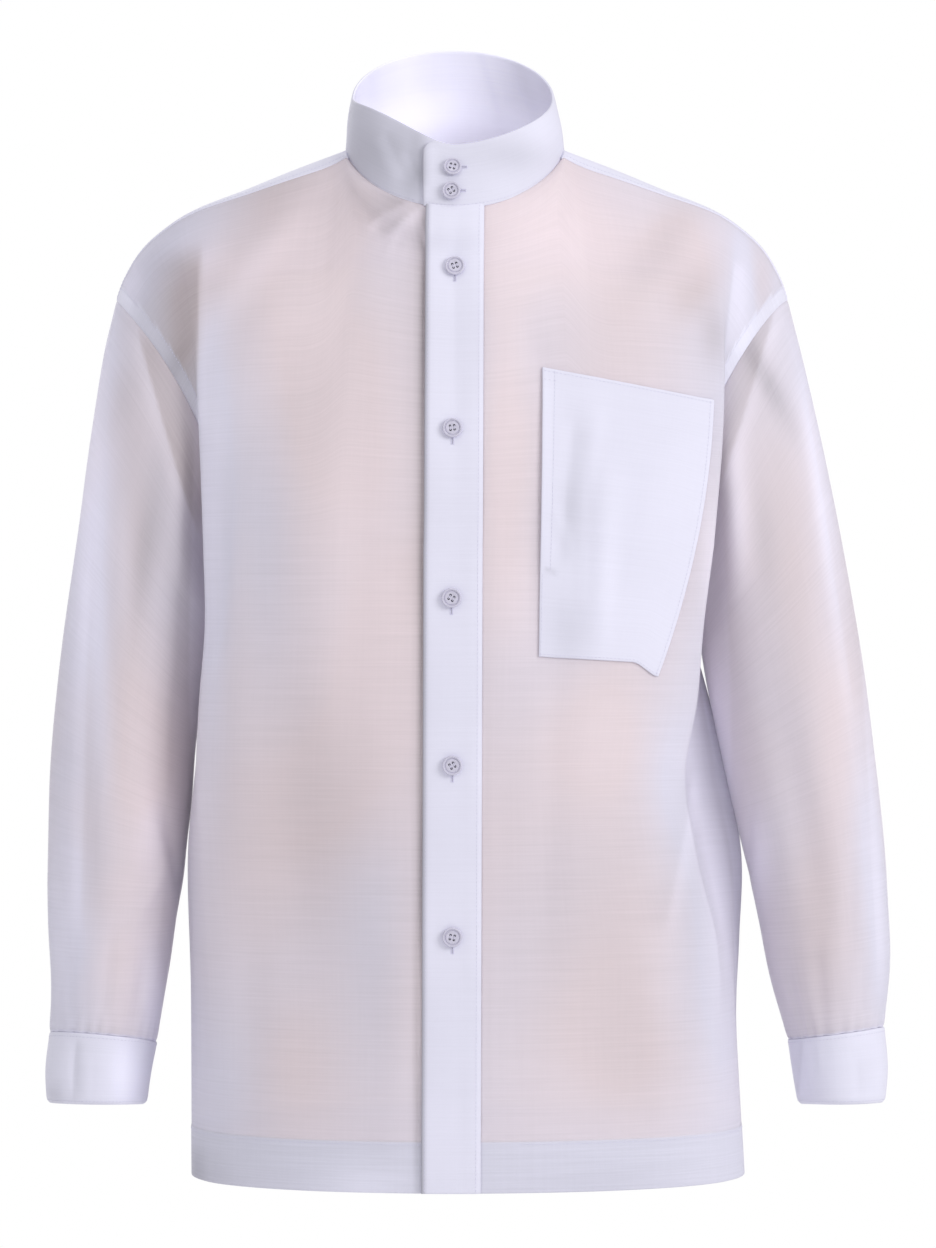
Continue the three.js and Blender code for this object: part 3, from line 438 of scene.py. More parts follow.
def upper_point(face, side, share, height):
    """A place above the underarm: height 0 is the neck seam or shoulder line."""
    drop = (1 - np.cos(math.pi * height)) / 2
    inner = np.minimum(share, CREST_SHARE)
    top = melted_top(face, side, inner, drop)
    bottom = section_point(face, side, inner, np.full_like(share, UNDERARM_Z))
    power = smooth(FULLNESS, "share", inner, "front" if face == FRONT else "back")
    full = (1 - (1 - drop) ** power) ** (1 / power)
    bow = CREST_BOW[side] * np.sin(math.pi * drop) * (inner / CREST_SHARE) ** 2
    crest = place(
        mix(top[..., 0], bottom[..., 0], drop) + side * bow,
        mix(top[..., 1], bottom[..., 1], full),
        mix(top[..., 2], bottom[..., 2], drop),
    )
    t = np.clip((share - CREST_SHARE) / (1 - CREST_SHARE), 0, 1)
    ends = [shoulder_point(side, np.float64(end)) for end in (CREST_SHARE, 1)]
    chord = ends[0] + (ends[1] - ends[0]) * t[..., None]
    rounding = (shoulder_point(side, share) - chord) * ((1 - drop) ** 3)[..., None]
    dent_x, dent_y = dent_offset(face, side, np.float64(UNDERARM_Z), t)
    outer = mix(crest, armhole_point(face, side, height), t[..., None]) + rounding
    outer -= place(side * dent_x * drop, face * dent_y * drop, 0)
    return np.where((share > CREST_SHARE)[..., None], outer, crest)


def body_point(face, side, share, height):
    """The whole body: heights 0 to 1 down to the underarm, 1 to 2 on to the hem."""
    share, height = (a.astype(float) for a in np.broadcast_arrays(share, height))
    high = upper_point(face, side, share, np.clip(height, 0, 1))
    low_z = mix(UNDERARM_Z, HEM_Z, np.clip(height - 1, 0, 1))
    low = section_point(face, side, share, low_z)
    point = np.where((height <= 1)[..., None], high, low)
    inner = 1 - eased((share - 0.55) / 0.15)
    rise = 0
    for fold in BODY_FOLDS[face]:
        rise = rise + fold_rise(point[..., 0], point[..., 2], fold)
    point[..., 1] += face * rise * inner
    return point


def cloth_point(face, side, share, height):
    """The body with its side fold rounded, as a fold in cloth is."""
    share, height = (a.astype(float) for a in np.broadcast_arrays(share, height))
    reach = 0.016 * np.exp(-(((share - CREST_SHARE) / 0.05) ** 2))
    around = [body_point(face, side, share + step * reach, height) for step in (-1, 0, 1)]
    return (around[0] + 1.2 * around[1] + around[2]) / 3.2


def share_at_x(face, x, height):
    """The share at which a level of the body reaches a distance from the centre."""
    x, height = (a.astype(float) for a in np.broadcast_arrays(x, height))
    share = np.zeros(x.shape)
    for side in (RIGHT, LEFT):
        here = (x < 0) == (side == RIGHT)
        low, high = np.zeros(here.sum()), np.full(here.sum(), CREST_SHARE)
        for _ in range(22):
            middle = (low + high) / 2
            short = np.abs(body_point(face, side, middle, height[here])[..., 0]) < np.abs(x[here])
            low, high = np.where(short, middle, low), np.where(short, high, middle)
        share[here] = (low + high) / 2
    return share


def front_at_x(x, height):
    """The place on the front at a distance from the centre, on either side of it."""
    x, height = (a.astype(float) for a in np.broadcast_arrays(x, height))
    share = share_at_x(FRONT, x, height)
    right = body_point(FRONT, RIGHT, share, height)
    left = body_point(FRONT, LEFT, share, height)
    return np.where((x < 0)[..., None], right, left)


def placket_x(height, edge):
    centre = mix(PLACKET_TOP_X, PLACKET_HEM_X, np.clip(height / 2, 0, 1))
    return centre + edge * PLACKET_WIDTH / 2


def front_seam(share):
    height = smooth(FRONT_YOKE_SEAM, "share", share, "height")
    return np.where(share <= FRONT_YOKE_SEAM["share"][0], 0, height)


def back_seam(share):
    return smooth(BACK_YOKE_SEAM, "share", share, "height")


# ---- The sleeves' and cuffs' form ----
def tube_point(rings, side, along, angle):
    ring = {name: smooth(rings, "place", along, name) for name in RINGS.split()}
    point = ring_point(ring, side, angle)
    middle = place(
        side * (ring["out_x"] + ring["in_x"]) / 2, 0, (ring["out_z"] + ring["in_z"]) / 2
    )
    return point, unit(point - middle)


# How far the front of each cuff is drawn up: at its seam, where the sleeve follows, and at its
# opening.
DRAWN_UP = {RIGHT: (6.5, 3.4), LEFT: (3.5, 3.4)}
DRAWN_REACH = 26


def drawn_up(outward, amount):
    """A lift of whatever faces the front, most where it faces it squarely."""
    return place(0, 0, 1) * (amount * np.clip(-outward[..., 1], 0, 1))[..., None]


def sleeve_point(side, along, angle):
    along, angle = (a.astype(float) for a in np.broadcast_arrays(along, angle))
    turn = np.mod(angle, 2 * math.pi)
    point, outward = tube_point(SLEEVE_RINGS[side], side, along, turn)
    rise = 0
    for start, start_turn, end, end_turn, width, height in SLEEVE_FOLDS[side]:
        fold = (
            math.radians(start_turn) * SLEEVE_RADIUS,
            start * SLEEVE_SPAN,
            math.radians(end_turn) * SLEEVE_RADIUS,
            end * SLEEVE_SPAN,
            width,
            height,
        )
        rise = rise + fold_rise(turn * SLEEVE_RADIUS, along * SLEEVE_SPAN, fold)
    fade = eased(along / 0.08) * eased((1 - along) / 0.05)
    near_cuff = np.exp(-(((1 - along) * SLEEVE_SPAN / DRAWN_REACH) ** 2))
    lift = drawn_up(outward, DRAWN_UP[side][0] * near_cuff)
    return point + outward * (rise * fade)[..., None] + lift


# ---- Sheets: grids of places that are joined, then closed into thin shells ----
# The share of its thickness, or the millimetres, that cloth keeps at a rolled edge.
THINNEST = 0.12
# How far the first lines lie from an edge, in millimetres: close, because it rolls over there.
NEAR_EDGE = (0, 0.3, 0.8, 1.6, 2.8)


def grid_sheet(points, flip=False, **data):
    """Quads on a grid, with a value of each kind of data at every place."""
    rows, columns = points.shape[:2]
    index = np.arange(rows * columns).reshape(rows, columns)
    a, b, c, d = index[:-1, :-1], index[:-1, 1:], index[1:, 1:], index[1:, :-1]
    quads = np.stack((a, b, c, d) if flip else (a, d, c, b), axis=-1).reshape(-1, 4)
    across = np.linalg.norm(np.diff(points, axis=1), axis=-1).mean(axis=0)
    down = np.linalg.norm(np.diff(points, axis=0), axis=-1).mean(axis=1)
    u = np.concatenate(([0], np.cumsum(across)))
    v = np.concatenate(([0], np.cumsum(down)))
    v = v + data.pop("below", 0)
    # Painted light and shade, and the inner faces' extra painted light, are none unless given.
    data = {"light": 0, "inside_light": 0, **data}
    spots = np.stack(np.meshgrid(u, v), axis=-1).reshape(-1, 2)
    flat = {
        name: np.broadcast_to(values, (rows, columns)).reshape(-1).astype(float)
        for name, values in data.items()
    }
    return {"points": points.reshape(-1, 3), "quads": quads, "spots": spots[quads], "data": flat}


def join(*sheets):
    """One sheet of several, with places that coincide made one."""
    points = np.concatenate([s["points"] for s in sheets])
    starts = np.cumsum([0] + [len(s["points"]) for s in sheets[:-1]])
    quads = np.concatenate([s["quads"] + start for s, start in zip(sheets, starts)])
    keys = np.floor(points * 50 + 0.3).astype(np.int64)
    _, first, renamed = np.unique(keys, axis=0, return_index=True, return_inverse=True)
    data = {
        name: np.concatenate([s["data"][name] for s in sheets])[first] for name in sheets[0]["data"]
    }
    return {
        "points": points[first],
        "quads": renamed.reshape(-1)[quads],
        "spots": np.concatenate([s["spots"] for s in sheets]),
        "data": data,
    }


def sheet_normals(sheet):
    points, quads = sheet["points"], sheet["quads"]
    corner = points[quads]
    area = np.cross(corner[:, 2] - corner[:, 0], corner[:, 3] - corner[:, 1])
    normals = np.zeros_like(points)
    for i in range(4):
        np.add.at(normals, quads[:, i], area)
    return unit(normals)


def border_edges(quads):
    edges = np.concatenate([quads[:, (i, (i + 1) % 4)] for i in range(4)])
    size = quads.max() + 1
    back = edges[:, 1] * size + edges[:, 0]
    return edges[~np.isin(edges[:, 0] * size + edges[:, 1], back)]


def placed(name, data):
    """A new object of a mesh, light or camera, in the scene."""
    made = bpy.data.objects.new(name, data)
    bpy.context.scene.collection.objects.link(made)
    return made


def new_object(name, vertices, faces):
    mesh = bpy.data.meshes.new(name)
    mesh.from_pydata(vertices, [], faces)
    mesh.validate()
    mesh.update()
    return placed(name, mesh)


def worked_out(made):
    """The mesh that an object's modifiers come to."""
    return bpy.data.meshes.new_from_object(
        made.evaluated_get(bpy.context.evaluated_depsgraph_get())
    )


def close_shell(name, sheet, material):
    """A closed shell between the sheet's outer and inner offsets, with a flat pattern map."""
    normals = sheet_normals(sheet)
    points, quads, data = sheet["points"], sheet["quads"], sheet["data"]
    outer = points + normals * data["outer"][:, None]
    inner = points + normals * data["inner"][:, None]
    count = len(points)
    edges = border_edges(quads)
    rim = np.stack((edges[:, 1], edges[:, 0], edges[:, 0] + count, edges[:, 1] + count), axis=-1)
    faces = np.concatenate((quads, quads[:, ::-1] + count, rim))
    vertices = np.concatenate((outer, inner)) * MM
    mesh = bpy.data.meshes.new(name)
    mesh.vertices.add(len(vertices))
    mesh.vertices.foreach_set("co", vertices.ravel())
    mesh.loops.add(faces.size)
    mesh.loops.foreach_set("vertex_index", faces.ravel())
    mesh.polygons.add(len(faces))
    mesh.polygons.foreach_set("loop_start", np.arange(0, faces.size, 4))
    mesh.update(calc_edges=True)
    spots = sheet["spots"] * MM
    rim_spots = np.zeros((len(rim), 4, 2))
    flat = np.concatenate((spots, spots[:, ::-1], rim_spots)).reshape(-1)
    mesh.uv_layers.new(name="cut").data.foreach_set("uv", flat)
    tints = {kind: np.tile(data[kind], 2) for kind in ("doubled", "blush", "light")}
    # The inner faces get extra painted light.
    tints["light"][count:] += data["inside_light"]
    for kind, values in tints.items():
        values = values.astype(np.float32)
        mesh.attributes.new(kind, "FLOAT", "POINT").data.foreach_set("value", values)
    mesh.polygons.foreach_set("use_smooth", np.ones(len(faces), bool))
    mesh.validate()
    mesh.materials.append(material)
    return placed(name, mesh)


def even_lines(length, step, edges=(True, True)):
    """Places from 0 to 1 along a length: even steps, with closer ones at the chosen ends."""
    near = np.array(NEAR_EDGE) / length
    inner = np.linspace(0, 1, max(int(round(length / step)), 2) + 1)
    low, high = edges
    inner = inner[(inner > near[-1] * 1.3) | (not low)]
    inner = inner[(inner < 1 - near[-1] * 1.3) | (not high)]
    parts = ([near] if low else []) + [inner] + ([1 - near[::-1]] if high else [])
    return np.concatenate(parts)


def edge_distance(points, top=False, bottom=False, start=False, end=False):
    """Each place's distance along the cloth from the nearest chosen edge of its grid."""
    down = np.linalg.norm(np.diff(points, axis=0), axis=-1)
    across = np.linalg.norm(np.diff(points, axis=1), axis=-1)
    from_top = np.concatenate((np.zeros((1, points.shape[1])), np.cumsum(down, axis=0)))
    from_start = np.concatenate((np.zeros((points.shape[0], 1)), np.cumsum(across, axis=1)), axis=1)
    far = np.full(points.shape[:2], 1e3)
    choices = (
        (top, from_top),
        (bottom, from_top[-1:] - from_top),
        (start, from_start),
        (end, from_start[:, -1:] - from_start),
    )
    for chosen, distance in choices:
        if chosen:
            far = np.minimum(far, distance)
    return far


def rolled(distance, radius):
    """0 at a rolled edge, 1 past its radius, along a quarter circle."""
    t = 1 - np.clip(distance / radius, 0, 1)
    return np.sqrt(1 - t * t)


def with_thickness(stand, thickness, roll, thinnest=THINNEST):
    """Outer and inner offsets of cloth: thin where its edge rolls over, full past that."""
    outer = stand - thickness / 2 * (1 - roll)
    return outer, outer - thickness * np.maximum(roll, thinnest)


def seam_dip(distance, depth=0.45, width=1.6):
    """How far cloth is drawn in beside a seam."""
    return -depth * np.exp(-((distance / width) ** 2))


def swell(u, v, seed, height=0.35):
    """Slight unevenness of filled-out cloth."""
    total = 0
    for i in range(5):
        turn = seed * 1.7 + i * 2.4
        pitch = 34 + 17 * ((seed * 3 + i * 5) % 7)
        run = u * math.cos(turn) + v * math.sin(turn) * 0.55
        total = total + np.sin(run * 6.28 / pitch + turn)
    return height * total / 5


# ---- Settings ----
def size(name, description, default, **more):
    return FloatProperty(name=name, description=description, default=default, min=0, **more)


def tone(name, description, default):
    return FloatVectorProperty(
        name=name, description=description, default=default, size=3, min=0, max=1, subtype="COLOR"
    )


class ShirtCloth(bpy.types.PropertyGroup):
    sheer: size("Sheer cloth", "Thickness of one layer, in millimetres", 0.6)
    placket_thickness: size("Placket", "Thickness of the buttonhole band, in millimetres", 1.5)
    folded: size("Collar and cuffs", "Thickness of the turned pieces, in millimetres", 1.9)
    pocket_thickness: size("Pocket", "Thickness of the pocket, in millimetres", 1.2)
    lilac: tone("Lilac", "Sheer cloth where it turns away", (0.81, 0.79, 0.91))
    blush: tone("Blush", "Sheer cloth where one layer spans the body", (0.875, 0.765, 0.8))
    double: tone("Doubled", "Two layers of the cloth", (0.76, 0.75, 0.88))
    cover: size("Cover", "How much one face of the sheer cloth hides", 0.66, max=1)
    weave: size("Weave", "Distance between threads, in millimetres", 0.55)


class ShirtThread(bpy.types.PropertyGroup):
    length: size("Stitch", "Length of one stitch, in millimetres", 2.1)
    gap: size("Gap", "Gap between stitches, in millimetres", 0.7)
    thickness: size("Thread", "Thickness of the thread, in millimetres", 0.34)
    colour: tone("Thread", "Colour of the sewing thread", (0.66, 0.64, 0.8))


class ShirtButtons(bpy.types.PropertyGroup):
    radius: size("Radius", "Radius of a front or cuff button, in millimetres", 7.0)
    collar_radius: size("Collar radius", "Radius of a collar button, in millimetres", 6.5)
    thickness: size("Thickness", "Thickness of a button, in millimetres", 3.2)
    hole: size("Hole", "Radius of a thread hole, in millimetres", 0.9)
    sides: IntProperty(name="Sides", description="Steps round a button", default=56, min=12)
    colour: tone("Button", "Colour of the buttons", (0.6, 0.58, 0.7))


class ShirtStage(bpy.types.PropertyGroup):
    key: size("Key light", "Power of the main soft light, in watts", 42.0, subtype="POWER")
    fill: size("Fill light", "Power of the soft light on the other side, in watts", 5.0)
    back: size("Back light", "Power of the soft light behind, in watts", 16.0, subtype="POWER")
    top: size("Top light", "Power of the overhead light, in watts", 5.0)
    air: size("Air", "Brightness of the light from all round", 0.62)
    lens: FloatProperty(name="Lens", description="Focal length", default=118.5, unit="CAMERA")
    distance: size("Distance", "Camera distance in metres", 3.0, unit="LENGTH")


def cloth():
    return bpy.context.scene.shirt_cloth


# ---- Materials ----
class Nodes:
    """A node tree, written one node a line."""

    def __init__(self, tree):
        self.nodes, self.links = tree.nodes, tree.links

    def node(self, kind, inputs=(), **values):
        made = self.nodes.new(kind)
        for key, value in values.items():
            setattr(made, key, value)
        self.feed(made, dict(inputs))
        return made

    def feed(self, made, inputs):
        for key, value in inputs.items():
            socket = made.inputs[key]
            if isinstance(value, bpy.types.NodeSocket):
                self.links.new(value, socket)
            else:
                socket.default_value = value

    def stretch(self, source, low, high):
        made = self.node("ShaderNodeMapRange", {"Value": source, "To Min": low, "To Max": high})
        return made.outputs["Result"]


class Finish(Nodes):
    """A material's node tree, with the steps that the finishes share."""

    def __init__(self, name):
        self.material = bpy.data.materials.new(name)
        self.material.use_nodes = True
        super().__init__(self.material.node_tree)
        self.surface = self.nodes["Principled BSDF"]

    def math(self, operation, *values):
        inputs = dict(enumerate(values))
        return self.node("ShaderNodeMath", inputs, operation=operation).outputs[0]

    def blend(self, factor, a, b, mode="MIX"):
        made = self.node("ShaderNodeMix", data_type="RGBA", blend_type=mode)
        self.feed(made, {0: factor, 6: a, 7: b})
        return made.outputs[2]

    def shaded(self, colour, shade):
        grey = self.node("ShaderNodeCombineColor", {0: shade, 1: shade, 2: shade}).outputs[0]
        return self.blend(1.0, colour, grey, "MULTIPLY")

    def solid(self):
        return self.node("ShaderNodeTexCoord").outputs["Object"]

    def noise(self, spots, scale, **inputs):
        inputs = {"Vector": spots, "Scale": scale, **inputs}
        return self.node("ShaderNodeTexNoise", inputs).outputs["Fac"]

    def tint(self, name):
        return self.node("ShaderNodeAttribute", attribute_name=name).outputs["Fac"]

    def bump(self, height, strength, depth):
        inputs = {"Height": height, "Strength": strength, "Distance": depth}
        return self.node("ShaderNodeBump", inputs).outputs[0]


def rgba(colour):
    return (*colour, 1.0)


# What a wave texture's scale is multiplied by so that one wave is one unit long.
WAVE_UNIT = 0.31416
# How far the noise of thick yarns is drawn out, across the piece and down it, and their shares.
THICK_YARNS = (((11.0, 620.0, 1.0), 0.78), ((420.0, 9.0, 1.0), 0.22))


def threads(tree, pitch):
    """Height of a plain weave on the flat pattern map, and the factor of its thick yarns."""
    spots = tree.node("ShaderNodeUVMap", uv_map="cut").outputs[0]
    waves = []
    for direction in ("X", "Y"):
        inputs = {
            "Vector": spots,
            "Scale": WAVE_UNIT / (pitch * MM),
            "Distortion": 1.2,
            "Detail": 1.0,
            "Detail Scale": 0.4,
        }
        wave = tree.node("ShaderNodeTexWave", inputs, wave_type="BANDS", bands_direction=direction)
        waves.append(wave.outputs["Fac"])
    weave = tree.math("MULTIPLY", tree.math("ADD", *waves), 0.5)
    yarns = []
    for stretch, share in THICK_YARNS:
        spread = tree.node("ShaderNodeMapping", {"Vector": spots, "Scale": stretch})
        noise = tree.noise(spread.outputs[0], 1.0, Detail=3.0, Roughness=0.62)
        yarns.append(tree.math("MULTIPLY", noise, share))
    return weave, tree.math("ADD", *yarns)


def finish_cloth(tree, colour, weave, slub, alpha, roughness):
    height = tree.math("ADD", tree.math("MULTIPLY", weave, 0.35), slub)
    inputs = {
        "Base Color": colour,
        "Roughness": roughness,
        "Alpha": alpha,
        "Specular IOR Level": 0.28,
        "Sheen Weight": 0.3,
        "Sheen Roughness": 0.45,
        "Sheen Tint": (0.95, 0.94, 1.0, 1.0),
        "Normal": tree.bump(height, 0.32, 0.0005),
    }
    tree.feed(tree.surface, inputs)
    return tree.material


def sheer_cloth():
    """Sheer cloth: lilac where it turns away, blush where it spans, pale where it is doubled, with
    painted light and shade.
    """
    if "sheer cloth" in bpy.data.materials:
        return bpy.data.materials["sheer cloth"]
    settings = cloth()
    tree = Finish("sheer cloth")
    weave, slub = threads(tree, settings.weave)
    clouds = tree.noise(tree.solid(), 7.0, Detail=2.0, Roughness=0.4)
    blush, doubled, light = (tree.tint(name) for name in ("blush", "doubled", "light"))
    drift = tree.math("ADD", blush, tree.stretch(clouds, -0.3, 0.3))
    drift = tree.node("ShaderNodeClamp", {"Value": drift}).outputs[0]
    colour = tree.blend(drift, rgba(settings.lilac), rgba(settings.blush))
    colour = tree.blend(doubled, colour, rgba(settings.double))
    # The light tint adds painted light and shade over the thick yarns' unevenness.
    colour = tree.shaded(colour, tree.math("ADD", tree.stretch(slub, 0.88, 1.1), light))
    hides = tree.stretch(doubled, settings.cover, 0.96)
    return finish_cloth(tree, colour, weave, slub, hides, 0.74)


def doubled_cloth():
    """Two layers of the cloth, pale lilac and close, with painted light and shade."""
    if "doubled cloth" in bpy.data.materials:
        return bpy.data.materials["doubled cloth"]
    settings = cloth()
    tree = Finish("doubled cloth")
    weave, slub = threads(tree, settings.weave)
    clouds = tree.noise(tree.solid(), 16.0, Detail=2.0, Roughness=0.45)
    shade = tree.math("MULTIPLY", tree.stretch(slub, 0.95, 1.04), tree.stretch(clouds, 0.96, 1.03))
    # The light tint adds painted light and shade over the yarns' and clouds' unevenness.
    colour = tree.shaded(rgba(settings.double), tree.math("ADD", shade, tree.tint("light")))
    return finish_cloth(tree, colour, weave, slub, 1.0, 0.66)


def button_plastic():
    if "button plastic" in bpy.data.materials:
        return bpy.data.materials["button plastic"]
    tree = Finish("button plastic")
    solid = tree.solid()
    clouds = tree.noise(solid, 260.0, Detail=3.0, Distortion=0.8)
    colour = rgba(bpy.context.scene.shirt_buttons.colour)
    inputs = {
        "Base Color": tree.shaded(colour, tree.stretch(clouds, 0.86, 1.14)),
        "Roughness": 0.24,
        "Coat Weight": 0.35,
        "Coat Roughness": 0.12,
        "Subsurface Weight": 0.12,
        "Subsurface Radius": (0.002, 0.002, 0.002),
        "Normal": tree.bump(tree.noise(solid, 2200.0), 0.08, 0.0001),
    }
    tree.feed(tree.surface, inputs)
    return tree.material


def hole_shadow():
    """Painted shade for the inside of a button's thread holes: near black, varied by noise."""
    if "button hole shade" in bpy.data.materials:
        return bpy.data.materials["button hole shade"]
    tree = Finish("button hole shade")
    shade_noise = tree.noise(tree.solid(), 900.0)
    colour = tree.blend(shade_noise, (0.05, 0.045, 0.07, 1), (0.11, 0.1, 0.15, 1))
    tree.feed(tree.surface, {"Base Color": colour, "Roughness": 0.5})
    return tree.material


def thread_material(name, lightness):
    """Twisted thread in the sewing thread's colour, made lighter or darker by a factor."""
    if name in bpy.data.materials:
        return bpy.data.materials[name]
    tree = Finish(name)
    inputs = {"Vector": tree.solid(), "Scale": 900.0, "Distortion": 2.0}
    twist = tree.node("ShaderNodeTexWave", inputs, bands_direction="DIAGONAL").outputs["Fac"]
    base = [value * lightness for value in bpy.context.scene.shirt_thread.colour]
    inputs = {
        "Base Color": tree.shaded(rgba(base), tree.stretch(twist, 0.85, 1.1)),
        "Roughness": 0.62,
        "Sheen Weight": 0.25,
        "Normal": tree.bump(twist, 0.3, 0.0001),
    }
    tree.feed(tree.surface, inputs)
    return tree.material


# ---- Finishing calls that every piece gets ----
def sew_in(piece, nodes=()):
    """Rides on the shirt and stands for its solids, which it hides."""
    if nodes:
        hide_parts(*nodes)
    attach(piece, "root")


def needed(name):
    piece = bpy.data.objects.get(name)
    if piece is None:
        raise RuntimeError(f"{name} has to be sewn first")
    return piece


# ---- Tints: painted warmth, light and shade ----
# Soft patches of painted light and shade, seen from the front: the middle in x and z, half width
# and half height, how far x leans for each level of z, how much warmer and how much lighter they
# are.
FRONT_PATCHES = (
    (-175, -99, 27, 30, 0.2, 0.5, -0.05),
    (-137, -84, 18, 62, 0.72, -0.1, 0.09),
    (-100, -132, 44, 80, 0.1, 0.35, 0),
    (-113, -30, 66, 30, 0, 0.1, -0.11),
    (-92, -190, 34, 50, 0, 0.1, -0.03),
    (-70, -60, 16, 40, 0.3, 0.2, -0.03),
    (-172, -290, 13, 150, 0, -0.5, 0.09),
    (-132, -285, 20, 95, 0, -0.4, -0.02),
    (-60, -300, 36, 140, 0, 0.4, 0.06),
    (-91, -475, 36, 80, 0, 0.2, -0.07),
    (-189, -590, 9, 120, 0, -0.2, -0.02),
    (-55, -590, 26, 85, 0, -0.5, -0.05),
    (-113, -655, 30, 44, 0, 0.4, -0.02),
    (77, -73, 52, 46, 0, 0.3, 0.09),
    (172, -88, 22, 34, 0, 0.5, 0),
    (207, -112, 7, 46, 0, -0.5, 0.05),
    (222, -100, 10, 34, 0, 0.5, -0.04),
    (36, -200, 18, 110, 0, 0.4, 0.07),
    (50, -330, 22, 50, 0, 0.2, 0.06),
    (100, -430, 38, 44, 0, 0.35, 0.04),
    (165, -475, 26, 66, -0.2, -0.5, 0.03),
    (90, -560, 54, 90, 0, 0, -0.06),
    (135, -650, 44, 44, 0, 0.3, -0.05),
    (194, -550, 14, 95, 0, -0.6, 0.04),
    (148, -76, 18, 36, 0.5, 0.3, -0.07),
    (-196, -131, 14, 36, 0, 0.4, -0.09),
    (-183, -474, 12, 60, 0, 0, 0.04),
    (-157, -584, 16, 70, 0, 0, 0.04),
    (170, -550, 14, 70, 0, 0, -0.05),
    (-62, -741, 32, 16, 0, 0, 0.08),
    (-172, -741, 16, 18, 0, 0.3, -0.05),
    (-187, -741, 9, 20, 0, 0.5, -0.14),
    (-236, -103, 12, 28, 0.2, -0.2, 0.17),
    (185, -140, 10, 22, 0, 0.2, -0.11),
    (60, -300, 6, 46, 0, 0, -0.09),
    (-43, -42, 14, 10, 0, 0.1, -0.1),
    (183, -300, 8, 40, 0, 0, 0.09),
    (-199, -160, 9, 20, 0.4, 0.3, -0.09),
    (171, -110, 16, 22, 0.4, 0.2, -0.08),
    (-130, -62, 18, 20, 0.6, 0, -0.06),
    (-172, -84, 14, 16, 0, 0, 0.07),
    (-140, -170, 28, 60, 0.5, 0, 0.04),
    (110, -741, 42, 16, 0, 0, -0.04),
)
SLEEVE_PATCHES = (
    (-262, -256, 17, 150, 0.06, -0.5, 0.25),
    (-240, -185, 14, 26, 0.3, 0.1, -0.05),
    (-253, -385, 9, 95, 0, -0.3, 0.13),
    (-219, -290, 9, 46, 0.12, 0, -0.13),
    (-216, -495, 11, 34, 0, -0.2, 0.13),
    (-218, -618, 10, 44, 0, -0.2, 0.14),
    (-232, -320, 13, 100, 0.05, 0.3, -0.07),
    (-222, -446, 22, 60, 0, 0.5, 0.02),
    (-190, -330, 12, 130, 0, 0, -0.02),
    (-280, -560, 20, 90, 0, -0.5, 0.11),
    (-240, -600, 16, 60, 0, 0.3, 0.03),
    (212, -330, 14, 90, 0, 0.1, 0.03),
    (222, -168, 9, 34, -0.5, 0, -0.16),
    (199, -275, 9, 52, 0, -0.2, 0.18),
    (220, -285, 8, 44, -0.1, 0, -0.07),
    (220, -512, 9, 30, 0, -0.1, 0.1),
    (187, -407, 8, 30, 0, 0, 0.1),
    (-236, -310, 9, 60, 0, -0.2, 0.1),
    (194, -425, 12, 60, -0.1, -0.1, 0.15),
    (262, -235, 9, 80, -0.12, 0, 0.08),
    (240, -300, 20, 125, -0.12, 0.35, -0.06),
    (266, -250, 10, 110, -0.12, -0.4, 0.03),
    (275, -420, 20, 80, 0, 0.3, 0.02),
    (262, -560, 20, 70, 0, 0.4, -0.05),
    (300, -520, 12, 110, -0.1, -0.5, 0.06),
)
# Creases of painted shade as lines from one x and z to another: which side of it is in shade, how
# far the shade reaches, how much lighter and warmer it is, and the painted highlight on the
# crease's own edge.
FRONT_CREASES = (
    (-183, -80, -184, -206, -1, 44, -0.24, 0.4, 0.07),
    (201, -86, 193, -150, 1, 10, 0.1, -0.4, 0),
    (-20, -44, -50, -70, -1, 9, -0.12, 0.1, 0.09),
    (-30, -42, -62, -60, -1, 7, -0.1, 0.1, 0.08),
    (150, -560, 172, -455, 1, 16, -0.06, 0, 0.05),
    (-21, -50, -23.5, -740, -1, 4, -0.44, 0.1, 0),
    (-21, -60, -23, -330, -1, 12, -0.1, 0.1, 0),
    (22, -60, 21, -720, 1, 3, -0.06, 0, 0),
)
SLEEVE_CREASES = (
    (-227, -140, -186, -276, 1, 40, -0.22, 0.4, 0.06),
    (-186, -205, -196, -520, -1, 22, -0.12, 0.1, 0),
    (190, -250, 208, -520, 1, 10, -0.06, 0.1, 0),
    (-262, -300, -268, -560, 1, 14, -0.04, 0.1, 0.05),
    (292, -330, 305, -600, -1, 16, -0.04, 0.1, 0.05),
    (231, -120, 191, -244, -1, 26, -0.15, 0.2, 0.07),
    (254, -180, 286, -400, 1, 20, -0.03, 0.2, 0.05),
)
# Painted light and shade of the pocket, collar and cuffs, with the same columns as those above.
POCKET_PATCHES = (
    (86, -250, 15, 60, 0, 0, -0.06),
    (98, -230, 6, 30, 0.15, 0, 0.05),
    (82, -350, 18, 26, 0, 0, -0.08),
    (80, -267, 9, 24, 0, 0, -0.06),
    (104, -330, 9, 44, 0, 0, 0.03),
    (150, -200, 40, 30, 0, 0, -0.02),
)
POCKET_CREASES = (
    (67.5, -170, 67, -305, -1, 4, 0.04, 0, 0),
    (84, -205, 74, -300, 1, 12, -0.04, 0, 0.04),
    (63, -307, 72, -309, -1, 2, -0.25, 0, 0),
)
COLLAR_PATCHES = (
    (-28, -28, 8, 13, 0.2, 0, -0.17),
    (-55, -6, 16, 24, 0, 0, -0.05),
    (-38, 0, 16, 30, 0.1, 0, -0.12),
    (-26, -6, 6, 16, 0, 0, -0.1),
    (-62, -2, 14, 20, 0, 0, -0.04),
    (-45, 10, 10, 12, 0, 0, 0.03),
    (40, -10, 32, 14, 0, 0, -0.09),
    (62, 8, 12, 16, 0, 0, 0.02),
)
